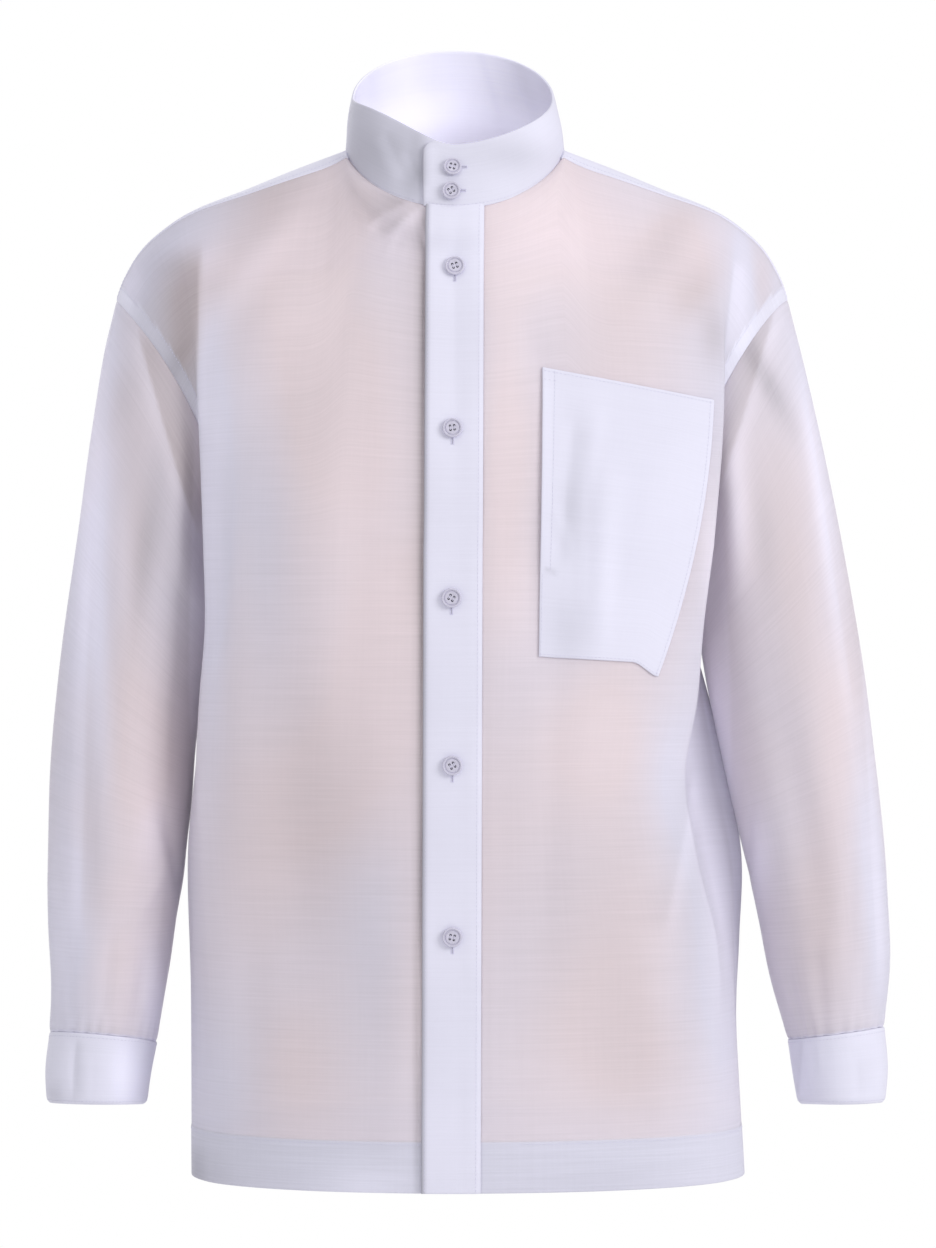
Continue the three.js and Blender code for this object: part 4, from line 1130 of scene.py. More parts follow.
COLLAR_CREASES = (
    (-20.8, -4, -21.5, -44, -1, 3, -0.1, 0, 0.1),
    (-50, 6, -36, -26, 1, 7, -0.05, 0, 0.05),
    (-34, -8, -24, -34, 1, 5, -0.05, 0, 0.04),
)
CUFF_PATCHES = (
    (-283, -668, 8, 22, 0, 0, 0.04),
    (-238, -672, 11, 28, 0, 0, 0.16),
    (-289, -690, 8, 12, 0, 0, -0.09),
    (270, -668, 12, 20, 0, 0, 0.02),
    (296, -672, 8, 20, 0, 0, -0.03),
)
CUFF_CREASES = (
    (-273, -646, -276, -690, 1, 5, -0.09, 0, 0.05),
    (252, -648, 250, -690, -1, 3, -0.1, 0, 0.05),
)


# How strongly a patch's warmth and its painted light and shade count.
WARMTH_GAIN, LIGHT_GAIN = 1.2, 1.5
# Tints fade to nothing at TINT_END behind the middle plane, over a depth of TINT_FADE.
TINT_END, TINT_FADE = 30, 45


def patch_sum(points, patches, creases):
    """Painted warmth, light and shade of soft patches and creases on the front half of the shirt.
    """
    x, z = points[..., 0], points[..., 2]
    warmth, light = np.zeros_like(x), np.zeros_like(x)
    for middle, height, wide, tall, lean, warmer, lighter in patches:
        level = z - height
        patch = np.exp(-(((x - middle - lean * level) / wide) ** 2) - (level / tall) ** 2)
        warmth += WARMTH_GAIN * warmer * patch
        light += LIGHT_GAIN * lighter * patch
    for x0, z0, x1, z1, hand, reach, lighter, warmer, edge in creases:
        length = math.hypot(x1 - x0, z1 - z0)
        along = ((x - x0) * (x1 - x0) + (z - z0) * (z1 - z0)) / length**2
        beside = ((x - x0) * (z0 - z1) + (z - z0) * (x1 - x0)) / length * hand
        kept = eased(along / 0.2 + 0.5) * eased((1 - along) / 0.2 + 0.5)
        # Painted shade on the chosen side of the crease.
        shade = np.exp(-((np.maximum(beside, 0) / reach) ** 2)) * eased(beside / 2.5 + 0.5) * kept
        warmth += warmer * shade
        light += lighter * shade
        # A painted highlight along the crease's edge, on the side away from its shade.
        light += edge * np.exp(-((beside + 4) / 5) ** 2) * kept
    front = eased((TINT_END - points[..., 1]) / TINT_FADE)
    return warmth * front, light * front


# ---- Body panels ----
COLUMN_STEP, ROW_STEP, ALLOWANCE = 3.3, 3.6, 10.5
# Lengths along the cloth that its lines are spaced over: from centre to side, and down to the
# underarm.
PANEL_WIDTH, UPPER_LENGTH = 285, 290
HEM_TOP = 2 - HEM_TURNING / (UNDERARM_Z - HEM_Z)


def lower_heights():
    """Levels below the underarm, closer at the edges of the hem's turning."""
    length = UNDERARM_Z - HEM_Z
    lines = 1 + even_lines(length, ROW_STEP, (False, True))[1:]
    near = HEM_TOP + np.array((-1.6, -0.6, 0.4, 1.4)) / length
    return np.sort(np.concatenate((lines[np.abs(lines - HEM_TOP) > 2.4 / length], near)))


def panel_heights(share, seam):
    """Rows of levels for each column: from the upper seam to the underarm, then to the hem."""
    upper = even_lines(UPPER_LENGTH, ROW_STEP, (True, False))[:, None]
    lower = lower_heights()[:, None]
    lower = np.broadcast_to(lower, (len(lower), share.shape[1]))
    return np.concatenate((mix(seam(share[0])[None, :], 1, upper), lower))


def panel_data(points, share, height, face, thickness, side_ends, open_start=False):
    """Offsets and tints of a body panel."""
    seams = edge_distance(points, top=True, start=side_ends[0], end=side_ends[1])
    side = edge_distance(points, start=side_ends[0], end=side_ends[1])
    hem = edge_distance(points, bottom=True)
    free = edge_distance(points, bottom=True, start=open_start)
    turned = eased((HEM_TURNING - hem) / 1.2 + 0.5) * (height > 1.5)
    depth = thickness * (1 + turned)
    roll = rolled(free, 0.8)
    uneven = swell(points[..., 0], points[..., 2], 2 + face) * eased(seams / 30)
    outer, inner = with_thickness(seam_dip(seams) + 0.25 * turned + uneven, depth, roll)
    allowance = eased((ALLOWANCE - side) / 0.8 + 0.5)
    allowance = allowance * np.where(height < 1, 0.8, 0.35)
    doubled = np.maximum(turned, allowance)
    ripple = swell(points[..., 0] * 0.6, points[..., 2] * 0.5, 5 + face, 0.5)
    # Painted light and shade of the patches and creases; the allowances above the underarm lighter
    # and the hem's turning darker.
    warmth, light = patch_sum(points, FRONT_PATCHES, FRONT_CREASES)
    blush = 0.2 + 0.5 * (1 - eased((share - 0.36) / 0.34)) + ripple + warmth
    return {
        "outer": outer,
        "inner": inner,
        "doubled": doubled,
        "blush": np.clip(blush, 0, 1),
        "light": light + 0.06 * allowance * (height < 1) - 0.09 * turned,
    }


def front_sheet(side):
    """One front. The wearer's right front runs on under the placket as the button stand."""
    columns = even_lines(PANEL_WIDTH, COLUMN_STEP, (False, True))
    upper = even_lines(UPPER_LENGTH, ROW_STEP, (True, False))
    guess = np.concatenate((upper, lower_heights()))
    if side == LEFT:
        start = share_at_x(FRONT, placket_x(guess, FRONT_LEFT_EDGE), guess)[:, None]
        share = mix(start, 1, columns[None, :])
        height = panel_heights(share, front_seam)
        points = cloth_point(FRONT, LEFT, share, height)
        data = panel_data(points, share, height, FRONT, cloth().sheer, (False, True))
        return grid_sheet(points, **data)
    share = np.broadcast_to(columns[None, :], (len(guess), len(columns)))
    height = panel_heights(share, front_seam)
    edge = share_at_x(FRONT, placket_x(guess, STAND_EDGE), guess)[:, None]
    stand_share = edge * np.linspace(1, 0, 7)[None, :-1]
    stand_height = np.broadcast_to(guess[:, None], stand_share.shape)
    stand = cloth_point(FRONT, LEFT, stand_share, stand_height)
    points = np.concatenate((stand, cloth_point(FRONT, RIGHT, share, height)), axis=1)
    share = np.concatenate((stand_share * 0, share), axis=1)
    height = np.concatenate((stand_height, height), axis=1)
    data = panel_data(points, share, height, FRONT, cloth().sheer, (False, True))
    return grid_sheet(points, flip=True, **data)


def both_halves(half):
    """The columns of a whole width, from those of its half."""
    return np.concatenate((half[:0:-1], half))[None, :]


def back_points(share, height):
    """Places on the back, its right half before the middle column and its left half after."""
    middle = share.shape[1] // 2
    right = cloth_point(BACK, RIGHT, share, height)[:, :middle]
    left = cloth_point(BACK, LEFT, share, height)[:, middle:]
    return np.concatenate((right, left), axis=1)


def back_sheet():
    share = both_halves(even_lines(PANEL_WIDTH, COLUMN_STEP, (False, True)))
    height = panel_heights(share, back_seam)
    share = np.broadcast_to(share, height.shape)
    points = back_points(share, height)
    data = panel_data(points, share, height, BACK, cloth().sheer, (True, True))
    return grid_sheet(points, flip=True, **data)


def yoke_data(points, thickness, **free):
    """The yoke lies on the panels along its two seams, and is sewn in at neck and armholes."""
    seam = edge_distance(points, bottom=True)
    roll = rolled(seam, 0.9)
    lap = np.exp(-((seam / 14) ** 2)) * 0.35
    stand = lap + seam_dip(edge_distance(points, **free))
    outer, inner = with_thickness(stand, thickness, roll, 0.15)
    # The yoke's inner face gets painted light.
    return {"outer": outer, "inner": inner, "doubled": 1, "blush": 0, "inside_light": 0.3}


def yoke_sheet():
    outer = NECK_SHARE + (1 - NECK_SHARE) * even_lines(200, COLUMN_STEP, (False, True))
    share = both_halves(np.concatenate((np.linspace(0, NECK_SHARE, 27)[:-1], outer)))
    lap = 0.006
    down = even_lines(110, 2.6, (False, True))[:, None]
    height = (back_seam(share) + lap) * down
    points = back_points(np.broadcast_to(share, height.shape), height)
    thickness = 2 * cloth().sheer
    parts = [grid_sheet(points, flip=True, **yoke_data(points, thickness, start=True, end=True))]
    front_share = np.concatenate((np.linspace(YOKE_FRONT_START, NECK_SHARE, 6)[:-1], outer))
    down = even_lines(22, 2.2, (False, True))[:, None]
    height = (front_seam(front_share)[None, :] + lap) * down
    front_share = np.broadcast_to(front_share[None, :], height.shape)
    for side in (RIGHT, LEFT):
        points = cloth_point(FRONT, side, front_share, height)
        data = yoke_data(points, thickness, end=True)
        parts.append(grid_sheet(points, flip=side == RIGHT, below=130, **data))
    return join(*parts)


class SHIRT_OT_panels(bpy.types.Operator):
    """Cut and join the two fronts, the back and the yoke"""

    bl_idname = "shirt.panels"
    bl_label = "Body panels"

    def execute(self, context):
        cut = (
            ("front_right", front_sheet(RIGHT), (0.29, 0.75), 0.195),
            ("front_left", front_sheet(LEFT), (0.265, 0.75), 0.175),
            ("back", back_sheet(), (0.56, 0.66), 0.325),
        )
        for name, sheet, flat, area in cut:
            piece = close_shell(f"{name}_cloth", sheet, sheer_cloth())
            sew_in(piece, [name])
        yoke = close_shell("yoke_cloth", yoke_sheet(), doubled_cloth())
        sew_in(yoke, ["yoke"])
        return {"FINISHED"}


# ---- Sleeves and cuffs ----
# How far each sleeve's inner side is let out towards the body, at what level and how far up and
# down, so that no daylight shows between the two above the hanging part of the sleeve.
LET_OUT = {RIGHT: (5.0, -470, 55), LEFT: (4.5, -440, 75)}
SLEEVE_LENGTH, SLEEVE_COLUMNS = 470, 119


def sleeve_gathers(side, angle, end):
    """The uneven small gathers with which the sleeve is sewn into its cuff."""
    waves = np.sin(angle * 23 + 1.5 * np.sin(angle * 5 + side))
    return waves * 0.55 * np.exp(-((end / 13) ** 2))


def sleeve_sheet(side):
    along = even_lines(SLEEVE_LENGTH, ROW_STEP)[:, None]
    angle = np.linspace(math.pi, 3 * math.pi, SLEEVE_COLUMNS)[None, :]
    points = sleeve_point(side, along, angle)
    thickness = cloth().sheer
    head = edge_distance(points, top=True)
    end = edge_distance(points, bottom=True)
    uneven = swell(angle * SLEEVE_RADIUS, along * SLEEVE_SPAN, 3 + side, 0.45)
    across = side * (points[..., 0] - points[..., 0].mean(axis=1, keepdims=True))
    inward = np.clip(-across / np.abs(across).max(axis=1, keepdims=True), 0, 1) ** 4
    amount, level, reach = LET_OUT[side]
    let_out = amount * np.exp(-(((points[..., 2] - level) / reach) ** 2))
    outer = seam_dip(head) - 0.9 * np.exp(-((end / 2.5) ** 2)) + sleeve_gathers(side, angle, end)
    outer = outer + uneven * eased(head / 25) * eased(end / 25) + inward * let_out
    turn = np.mod(angle, 2 * math.pi)
    facing = 0.5 + 0.5 * np.cos(turn - math.radians(100))
    # Painted warmth, light and shade of the sleeves' patches and creases.
    warmth, light = patch_sum(points, SLEEVE_PATCHES, SLEEVE_CREASES)
    blush = 0.15 + 0.35 * facing * eased(1.2 - np.abs(along - 0.5) * 1.2) + uneven * 0.3 + warmth
    data = {
        "outer": outer,
        "inner": outer - thickness,
        "doubled": eased((2.0 - end) / 1.5) * 0.8,
        "blush": np.clip(blush, 0, 1),
        "light": light,
    }
    return grid_sheet(points, flip=side == LEFT, **data)


class SHIRT_OT_sleeves(bpy.types.Operator):
    """Sew the two long sleeves to the armholes"""

    bl_idname = "shirt.sleeves"
    bl_label = "Sleeves"

    def execute(self, context):
        for name, side in (("sleeve_right", RIGHT), ("sleeve_left", LEFT)):
            piece = close_shell(f"{name}_cloth", join(sleeve_sheet(side)), sheer_cloth())
            sew_in(piece, [name])
        return {"FINISHED"}


# Cuff folds: from (distance round, distance down) to the same, width, height.
CUFF_FOLDS = {
    RIGHT: ((52, 4, 55, 44, 3.2, -0.9), (64, 12, 66, 50, 4, 0.5), (108, 0, 104, 30, 5, -0.6)),
    LEFT: ((116, 2, 112, 46, 3.2, -0.9), (60, 10, 58, 50, 5, -0.5), (92, 0, 96, 26, 4, 0.5)),
}
CUFF_FOLD_SPAN, CUFF_FOLD_RADIUS = 50, 45
CUFF_HEIGHT, CUFF_ROUND, CUFF_CORNER = 49, 262, 9
# Radius of the curl with which the open end of each cuff turns in, and how much of it is made.
CUFF_CURL, CUFF_CURL_SHARE = 5.5, 0.8


def cuff_turns():
    whole = 2 * math.pi + CUFF_LAP / CUFF_RADIUS
    return whole * even_lines(CUFF_ROUND, 2.3)


def cuff_point(side, along, turned):
    """A place on the cuff, turned from its under end."""
    angle = np.mod(CUFF_LAP_ANGLE + turned, 2 * math.pi)
    point, outward = tube_point(CUFF_RINGS[side], side, along, angle)
    lap = CUFF_LAP / CUFF_RADIUS
    under = 1 - eased((turned - lap) / 0.5)
    over = 1 - eased((2 * math.pi - turned) / 0.5)
    rise = 0.4 + CUFF_STEP * (over - under)
    for fold in CUFF_FOLDS[side]:
        rise = rise + fold_rise(angle * CUFF_FOLD_RADIUS, along * CUFF_FOLD_SPAN, fold)
    in_curl = np.clip(1 - (1 - along) * CUFF_HEIGHT / CUFF_CURL, 0, 0.97)
    rise = rise - CUFF_CURL * CUFF_CURL_SHARE * (1 - np.sqrt(1 - in_curl**2))
    return point + outward * rise[..., None] + drawn_up(outward, mix(*DRAWN_UP[side], along))


def cuff_sheet(side):
    along = even_lines(CUFF_HEIGHT, 1.9)[:, None]
    turned = cuff_turns()[None, :]
    along, turned = np.broadcast_arrays(along, turned)
    points = cuff_point(side, along, turned)
    thickness = cloth().folded
    roll = rolled(edge_distance(points, top=True, bottom=True, start=True, end=True), 1.1)
    corner = np.hypot(
        np.maximum(CUFF_CORNER - edge_distance(points, bottom=True), 0),
        np.maximum(CUFF_CORNER - edge_distance(points, end=True), 0),
    )
    outer, inner = with_thickness(0, thickness, roll)
    points = points + place(0, 0, 1) * (np.maximum(corner - CUFF_CORNER, 0) * 0.9)[..., None]
    # Painted light and shade of the cuffs' patches and creases.
    _, light = patch_sum(points, CUFF_PATCHES, CUFF_CREASES)
    tints = {"doubled": 1, "blush": 0, "light": light}
    return grid_sheet(points, flip=side == LEFT, outer=outer, inner=inner, **tints)


class SHIRT_OT_cuffs(bpy.types.Operator):
    """Sew the doubled cuffs, lapped at the outer back"""

    bl_idname = "shirt.cuffs"
    bl_label = "Cuffs"

    def execute(self, context):
        for name, side in (("cuff_right", RIGHT), ("cuff_left", LEFT)):
            piece = close_shell(f"{name}_cloth", cuff_sheet(side), doubled_cloth())
            sew_in(piece, [name])
        return {"FINISHED"}


# ---- Collar ----
# Collar folds: from (minus the distance turned, height) to the same, width, height.
COLLAR_FOLDS = (
    (-470, 34, -440, 38, 4, 0.7),
    (-482, 12, -446, 16, 4, 0.6),
    (-330, 6, -352, 40, 9, -0.7),
    (-120, 4, -96, 40, 10, -0.8),
    (-40, 6, -66, 36, 8, 0.6),
)


def lap_turn(x):
    return math.asin(x / NECK_HALF_WIDTH)


COLLAR_START = -lap_turn(COLLAR_RIGHT_LAP)
COLLAR_END = 2 * math.pi + lap_turn(COLLAR_LEFT_LAP)


def collar_point(turn, height):
    """A place on the collar, turned from its under end round by the wearer's right."""
    turn, height = (a.astype(float) for a in np.broadcast_arrays(turn, height))
    bend, forward = np.abs(np.sin(turn)), np.cos(turn)
    side = np.where(np.sin(turn) > 0, RIGHT, LEFT)
    share = np.arctan2(bend, np.abs(forward)) / (math.pi / 2) * NECK_SHARE
    foot = np.where(
        (forward > 0)[..., None], neck_point(FRONT, 1, share), neck_point(BACK, 1, share)
    )
    foot[..., 0] *= side
    between = np.maximum(2 * bend * forward, 0) ** 1.3
    rim = place(
        side * RIM_HALF_WIDTH * bend + RIM_SHIFT_X,
        np.where(forward > 0, -RIM_FRONT, RIM_BACK) * np.abs(forward),
        RIM_MIDDLE_Z
        - RIM_TILT * forward
        + np.where(side == RIGHT, RIM_SWELL_RIGHT, RIM_SWELL_LEFT) * between,
    )
    settled = 0.55
    under = 1 - eased((turn - lap_turn(COLLAR_LEFT_LAP)) / settled)
    over = 1 - eased((2 * math.pi - lap_turn(COLLAR_RIGHT_LAP) - turn) / settled)
    rise = 0.7 + COLLAR_STEP * (over - under) + 1.5 * np.sin(math.pi * np.clip(height, 0, 1))
    for fold in COLLAR_FOLDS:
        rise = rise + fold_rise(-turn * NECK_FRONT, height * COLLAR_HEIGHT, fold)
    outward = place(-np.sin(turn), -forward, 0)
    return mix(foot, rim, height[..., None]) + outward * rise[..., None]


# How much painted light the inside of the collar gets over its outside, and how much more at its
# foot.
INSIDE_LIGHT, INSIDE_FOOT_LIGHT = 0.28, 0.2
# Soft upright bands of painted shade on the collar: the angle round the neck, the reach and how
# much lighter.
OUTSIDE_SHADE, INSIDE_SHADE = (1.2, 0.45, -0.13), (4.3, 0.6, -0.1)
# Bands of painted light and shade inside the collar, leaning with its height: angle, reach, how
# much lighter.
INSIDE_FOLD_SHADING = ((2.15, 0.14, -0.07), (2.62, 0.16, 0.05), (3.42, 0.05, -0.05), (3.86, 0.12, -0.06))


def soft_band(turn, band):
    angle, reach, lighter = band
    return lighter * np.exp(-(((turn - angle) / reach) ** 2))


def collar_sheet():
    length = (COLLAR_END - COLLAR_START) * NECK_FRONT
    turn = mix(COLLAR_START, COLLAR_END, even_lines(length, 2.4))[None, :]
    down = even_lines(COLLAR_HEIGHT, 1.9)[:, None]
    from_corner = (turn - COLLAR_END) * NECK_FRONT + COLLAR_CORNER
    in_corner = np.clip(from_corner / COLLAR_CORNER, 0, 0.999)
    cut = COLLAR_CORNER / COLLAR_HEIGHT * (1 - np.sqrt(1 - in_corner**2))
    foot = -0.02 - 0.34 * eased((-np.cos(turn) - 0.15) / 0.5)
    points = collar_point(turn, mix(1 - cut * 0.96, foot, down))
    thickness = cloth().folded
    roll = rolled(edge_distance(points, top=True, start=True, end=True), 1.1)
    outer, inner = with_thickness(0, thickness, roll)
    # Painted shade on the collar's outside: patches, creases, a soft band, and a darker back.
    _, light = patch_sum(points, COLLAR_PATCHES, COLLAR_CREASES)
    light = light - 0.05 + soft_band(turn, OUTSIDE_SHADE)
    light = np.where(np.cos(turn) < 0.1, -0.05, light)
    # The inside of the collar gets painted light, more towards its foot, with bands of painted
    # shade.
    inside_light = INSIDE_LIGHT + soft_band(turn, INSIDE_SHADE)
    inside_light = inside_light + INSIDE_FOOT_LIGHT * eased((down - 0.25) / 0.5)
    for fold in INSIDE_FOLD_SHADING:
        inside_light = inside_light + soft_band(turn - 0.25 * down, fold)
    tints = {"doubled": 1, "blush": 0, "light": light, "inside_light": inside_light}
    return grid_sheet(points, flip=True, outer=outer, inner=inner, **tints)


class SHIRT_OT_collar(bpy.types.Operator):
    """Sew the tall stand collar, its wearer's left end over its right"""

    bl_idname = "shirt.collar"
    bl_label = "Collar"

    def execute(self, context):
        piece = close_shell("collar_cloth", collar_sheet(), doubled_cloth())
        sew_in(piece, ["collar"])
        return {"FINISHED"}


# ---- Placket ----
def placket_sheet():
    upper = mix(PLACKET_TOP, 1, even_lines(UPPER_LENGTH, 3.0, (True, False)))
    height = np.concatenate((upper, lower_heights()))[:, None]
    across = even_lines(PLACKET_WIDTH, 2.2)[None, :] * 2 - 1
    height, across = np.broadcast_arrays(height, across)
    points = front_at_x(placket_x(height, across), height)
    thickness = cloth().placket_thickness
    sewn, free = (edge_distance(points, **{edge: True}) for edge in ("end", "start"))
    roll = rolled(edge_distance(points, start=True, bottom=True), 0.9)
    uneven = 0.35 * np.sin(points[..., 2] / 31) * np.exp(-((free / 9) ** 2))
    stand = 1.9 - 1.15 * np.exp(-((sewn / 1.8) ** 2)) + uneven
    outer, inner = with_thickness(stand, thickness, roll)
    inner = np.minimum(np.maximum(inner, THINNEST), outer - THINNEST)
    # Painted light and shade: waves of painted shade for puckers, painted shade along the sewn edge
    # and near the middle, and a dark painted shadow along the free edge.
    pucker_shading = np.cos((points[..., 2] + 83) / 122 * 2 * math.pi)
    light = 0.02 + 0.015 * pucker_shading - 0.05 * np.exp(-((sewn / 3) ** 2))
    light = light - 0.03 * np.exp(-(((points[..., 0] - 8) / 5) ** 2)) * (0.6 + 0.4 * pucker_shading)
    light = light - 0.45 * np.exp(-((free / 2.5) ** 2))
    return grid_sheet(points, outer=outer, inner=inner, doubled=1, blush=0, light=light)


class SHIRT_OT_placket(bpy.types.Operator):
    """Sew the buttonhole band over the edge of the wearer's left front"""

    bl_idname = "shirt.placket"
    bl_label = "Placket"

    def execute(self, context):
        piece = close_shell("placket_cloth", placket_sheet(), doubled_cloth())
        sew_in(piece, ["placket"])
        return {"FINISHED"}


# ---- Pocket ----
POCKET_WIDTH, POCKET_LENGTH = 110, 205
POCKET_FOLDS = (
    (84, -190, 92, -366, 9, -1.3),
    (106, -200, 104, -372, 8, 1.0),
    (128, -220, 112, -340, 10, -0.7),
    (66, -262, 84, -300, 5, 0.8),
)


def surface_of(*pieces):
    """A search tree of the faces of finished pieces, in millimetres."""
    meshes = [piece.data for piece in pieces]
    parts = (([v.co / MM for v in m.vertices], [p.vertices for p in m.polygons]) for m in meshes)
    return BVHTree.FromPolygons(*gathered(parts))


def front_place(surface, x, z):
    """The outermost cloth at a level (x, z) seen from the front, with its direction."""
    spot, normal, _, _ = surface.ray_cast(Vector((x, -400, z)), Vector((0, 1, 0)))
    if spot is None:
        raise RuntimeError(f"there is no cloth at x {x:.1f}, z {z:.1f}")
    return spot, normal


def pocket_outline(u, v):
    """Level (x, z) of a place on the pocket: u from its inner edge, v from its top."""
    inner_x = mix(POCKET_TOP_INNER[0], POCKET_BOTTOM_INNER[0], v)
    straight = mix(POCKET_TOP_OUTER[0], POCKET_BOTTOM_OUTER[0], v)
    middle = (POCKET_TOP_OUTER[0] + POCKET_BOTTOM_OUTER[0]) / 2
    outer_x = straight + 4 * v * (1 - v) * (POCKET_MIDDLE_X - middle)
    top_z = mix(POCKET_TOP_INNER[1], POCKET_TOP_OUTER[1], u)
    bottom_z = mix(POCKET_BOTTOM_INNER[1], POCKET_BOTTOM_OUTER[1] + POCKET_POINT, u)
    bottom_z = bottom_z - POCKET_POINT * eased((u - 0.78) / 0.22)
    return mix(inner_x, outer_x, u), mix(top_z, bottom_z, v)


def pocket_sheet(surface):
    lines = (even_lines(length, 2.6) for length in (POCKET_LENGTH, POCKET_WIDTH))
    v, u = np.meshgrid(*lines, indexing="ij")
    x, z = pocket_outline(u, v)
    points = np.array(
        [[tuple(front_place(surface, *spot)[0]) for spot in zip(*row)] for row in zip(x, z)]
    )
    for _ in range(3):
        points[1:-1, 1:-1, 1] = (
            points[1:-1, 1:-1, 1] * 2
            + points[:-2, 1:-1, 1]
            + points[2:, 1:-1, 1]
            + points[1:-1, :-2, 1]
            + points[1:-1, 2:, 1]
        ) / 6
    rise = 0
    for fold in POCKET_FOLDS:
        rise = rise + fold_rise(x, z, fold)
    inside = edge_distance(points, top=True, bottom=True, start=True, end=True)
    rise = rise * eased(inside / 12)
    opening = np.sin(math.pi * np.clip(v / POCKET_NOTCH, 0, 1)) ** 0.7
    opening = 1.3 * opening * np.exp(-((edge_distance(points, start=True) / 13) ** 2))
    thickness = cloth().pocket_thickness
    roll = rolled(inside, 0.8)
    stand = 1.7 + np.maximum(rise, -0.6) + opening
    outer, inner = with_thickness(stand, thickness, roll)
    # Painted light and shade of the pocket's patches and creases.
    _, light = patch_sum(points, POCKET_PATCHES, POCKET_CREASES)
    return grid_sheet(points, outer=outer, inner=inner, doubled=1, blush=0, light=light)


class SHIRT_OT_pocket(bpy.types.Operator):
    """Sew the slanted pocket on the wearer's left chest, open along its inner edge"""

    bl_idname = "shirt.pocket"
    bl_label = "Pocket"

    def execute(self, context):
        surface = surface_of(needed("front_left_cloth"))
        piece = close_shell("pocket_cloth", pocket_sheet(surface), doubled_cloth())
        sew_in(piece, ["pocket"])
        return {"FINISHED"}


# ---- Buttons ----
HOLE_SPREAD, HOLE_SIDES, HOLDING_THREAD_RADIUS = 1.45, 16, 0.17
BUTTON_RIM, BUTTON_DISH, BUTTON_SEAT = 1.5, 1.0, 0.35


def gathered(parts):
    """One list of vertices and one of faces, from those of several parts."""
    vertices, faces = [], []
    for more, more_faces in parts:
        start = len(vertices)
        vertices += [tuple(v) for v in more]
        faces += [tuple(start + i for i in face) for face in more_faces]
    return vertices, faces


def ring_faces(rings, sides):
    """Quads between rings of vertices that follow one another."""
    faces = []
    for ring in range(rings - 1):
        for i in range(sides):
            a, b = ring * sides + i, ring * sides + (i + 1) % sides
            faces.append((a, b, b + sides, a + sides))
    return faces


def turned_solid(profile, sides):
    """Vertices and faces of a profile of (radius, height) turned round +Z, closed at both ends."""
    vertices = []
    for radius, height in profile[1:-1]:
        for i in range(sides):
            angle = 2 * math.pi * i / sides
            vertices.append((radius * math.cos(angle), radius * math.sin(angle), height))
    rings = len(profile) - 2
    faces = ring_faces(rings, sides)
    low, high = len(vertices), len(vertices) + 1
    vertices += [(0, 0, profile[0][1]), (0, 0, profile[-1][1])]
    last = (rings - 1) * sides
    for i in range(sides):
        faces.append((low, (i + 1) % sides, i))
        faces.append((high, last + i, last + (i + 1) % sides))
    return vertices, faces


def tube(path, radius, sides=6):
    """Vertices and faces of a round thread along a path, closed at its ends."""
    path = [Vector(p) for p in path]
    vertices, side = [], None
    for i, spot in enumerate(path):
        along = (path[min(i + 1, len(path) - 1)] - path[max(i - 1, 0)]).normalized()
        if side is None:
            side = along.orthogonal().normalized()
        side = (side - along * side.dot(along)).normalized()
        over = along.cross(side)
        for j in range(sides):
            angle = 2 * math.pi * j / sides
            vertices.append(spot + radius * (side * math.cos(angle) + over * math.sin(angle)))
    faces = ring_faces(len(path), sides)
    last = (len(path) - 1) * sides
    faces.append(tuple(reversed(range(sides))))
    faces.append(tuple(last + j for j in range(sides)))
    return vertices, faces


def drilled_button(radius):
    """One button: a turned disc with a raised rim and four real holes, lying on z = 0."""
    settings = bpy.context.scene.shirt_buttons
    tall, rim, dish = settings.thickness, BUTTON_RIM, BUTTON_DISH
    profile = [
        (0, 0),
        (radius * 0.7, 0),
        (radius * 0.86, tall * 0.1),
        (radius * 0.96, tall * 0.28),
        (radius, tall * 0.5),
        (radius * 0.99, tall * 0.74),
        (radius * 0.96, tall * 0.92),
        (radius * 0.92, tall),
        (radius - rim * 0.8, tall * 0.985),
        (radius - rim, tall - dish * 0.5),
        (radius - rim * 1.15, tall - dish),
        (radius - rim * 1.4, tall - dish * 1.05),
        (radius - rim * 1.65, tall - dish * 0.55),
        (radius - rim * 1.9, tall - dish * 0.45),
        (radius * 0.45, tall - dish * 0.6),
        (radius * 0.3, tall - dish * 0.75),
        (0, tall - dish * 0.75),
    ]
    body = new_object("button blank", *turned_solid(profile, settings.sides))
    shaft = [(0, -1), (settings.hole, -1), (settings.hole, tall + 1), (0, tall + 1)]
    vertices, faces = turned_solid(shaft, HOLE_SIDES)
    shafts = [
        ([(vx + x * HOLE_SPREAD, vy + y * HOLE_SPREAD, vz) for vx, vy, vz in vertices], faces)
        for x, y in ((1, 1), (-1, 1), (-1, -1), (1, -1))
    ]
    drill = new_object("button drill", *gathered(shafts))
    cut = body.modifiers.new("holes", "BOOLEAN")
    cut.operation, cut.solver, cut.object = "DIFFERENCE", "EXACT", drill
    mesh = worked_out(body)
    for used in (body, drill):
        bpy.data.objects.remove(used)
    vertices = [tuple(v.co) for v in mesh.vertices]
    faces = [tuple(p.vertices) for p in mesh.polygons]
    return vertices, faces


def in_hole(spot):
    """Whether a place of the button lies on the wall of one of its four holes."""
    radius = bpy.context.scene.shirt_buttons.hole
    return math.hypot(abs(spot[0]) - HOLE_SPREAD, abs(spot[1]) - HOLE_SPREAD) < radius * 1.02


def holding_thread(thickness):
    """Two bars of doubled thread through the four holes."""
    floor = thickness - BUTTON_DISH
    bars = []
    for x in (-HOLE_SPREAD, HOLE_SPREAD):
        for shift in (-0.12, 0.14):
            steps = np.linspace(-1, 1, 11)
            path = [
                (
                    x + shift,
                    HOLE_SPREAD * 1.1 * math.copysign(min(abs(t) * 1.15, 1), t),
                    floor + 0.42 - 2.2 * max(abs(t) - 0.78, 0) * 5,
                )
                for t in steps
            ]
            bars.append(tube(path, HOLDING_THREAD_RADIUS))
    return gathered(bars)


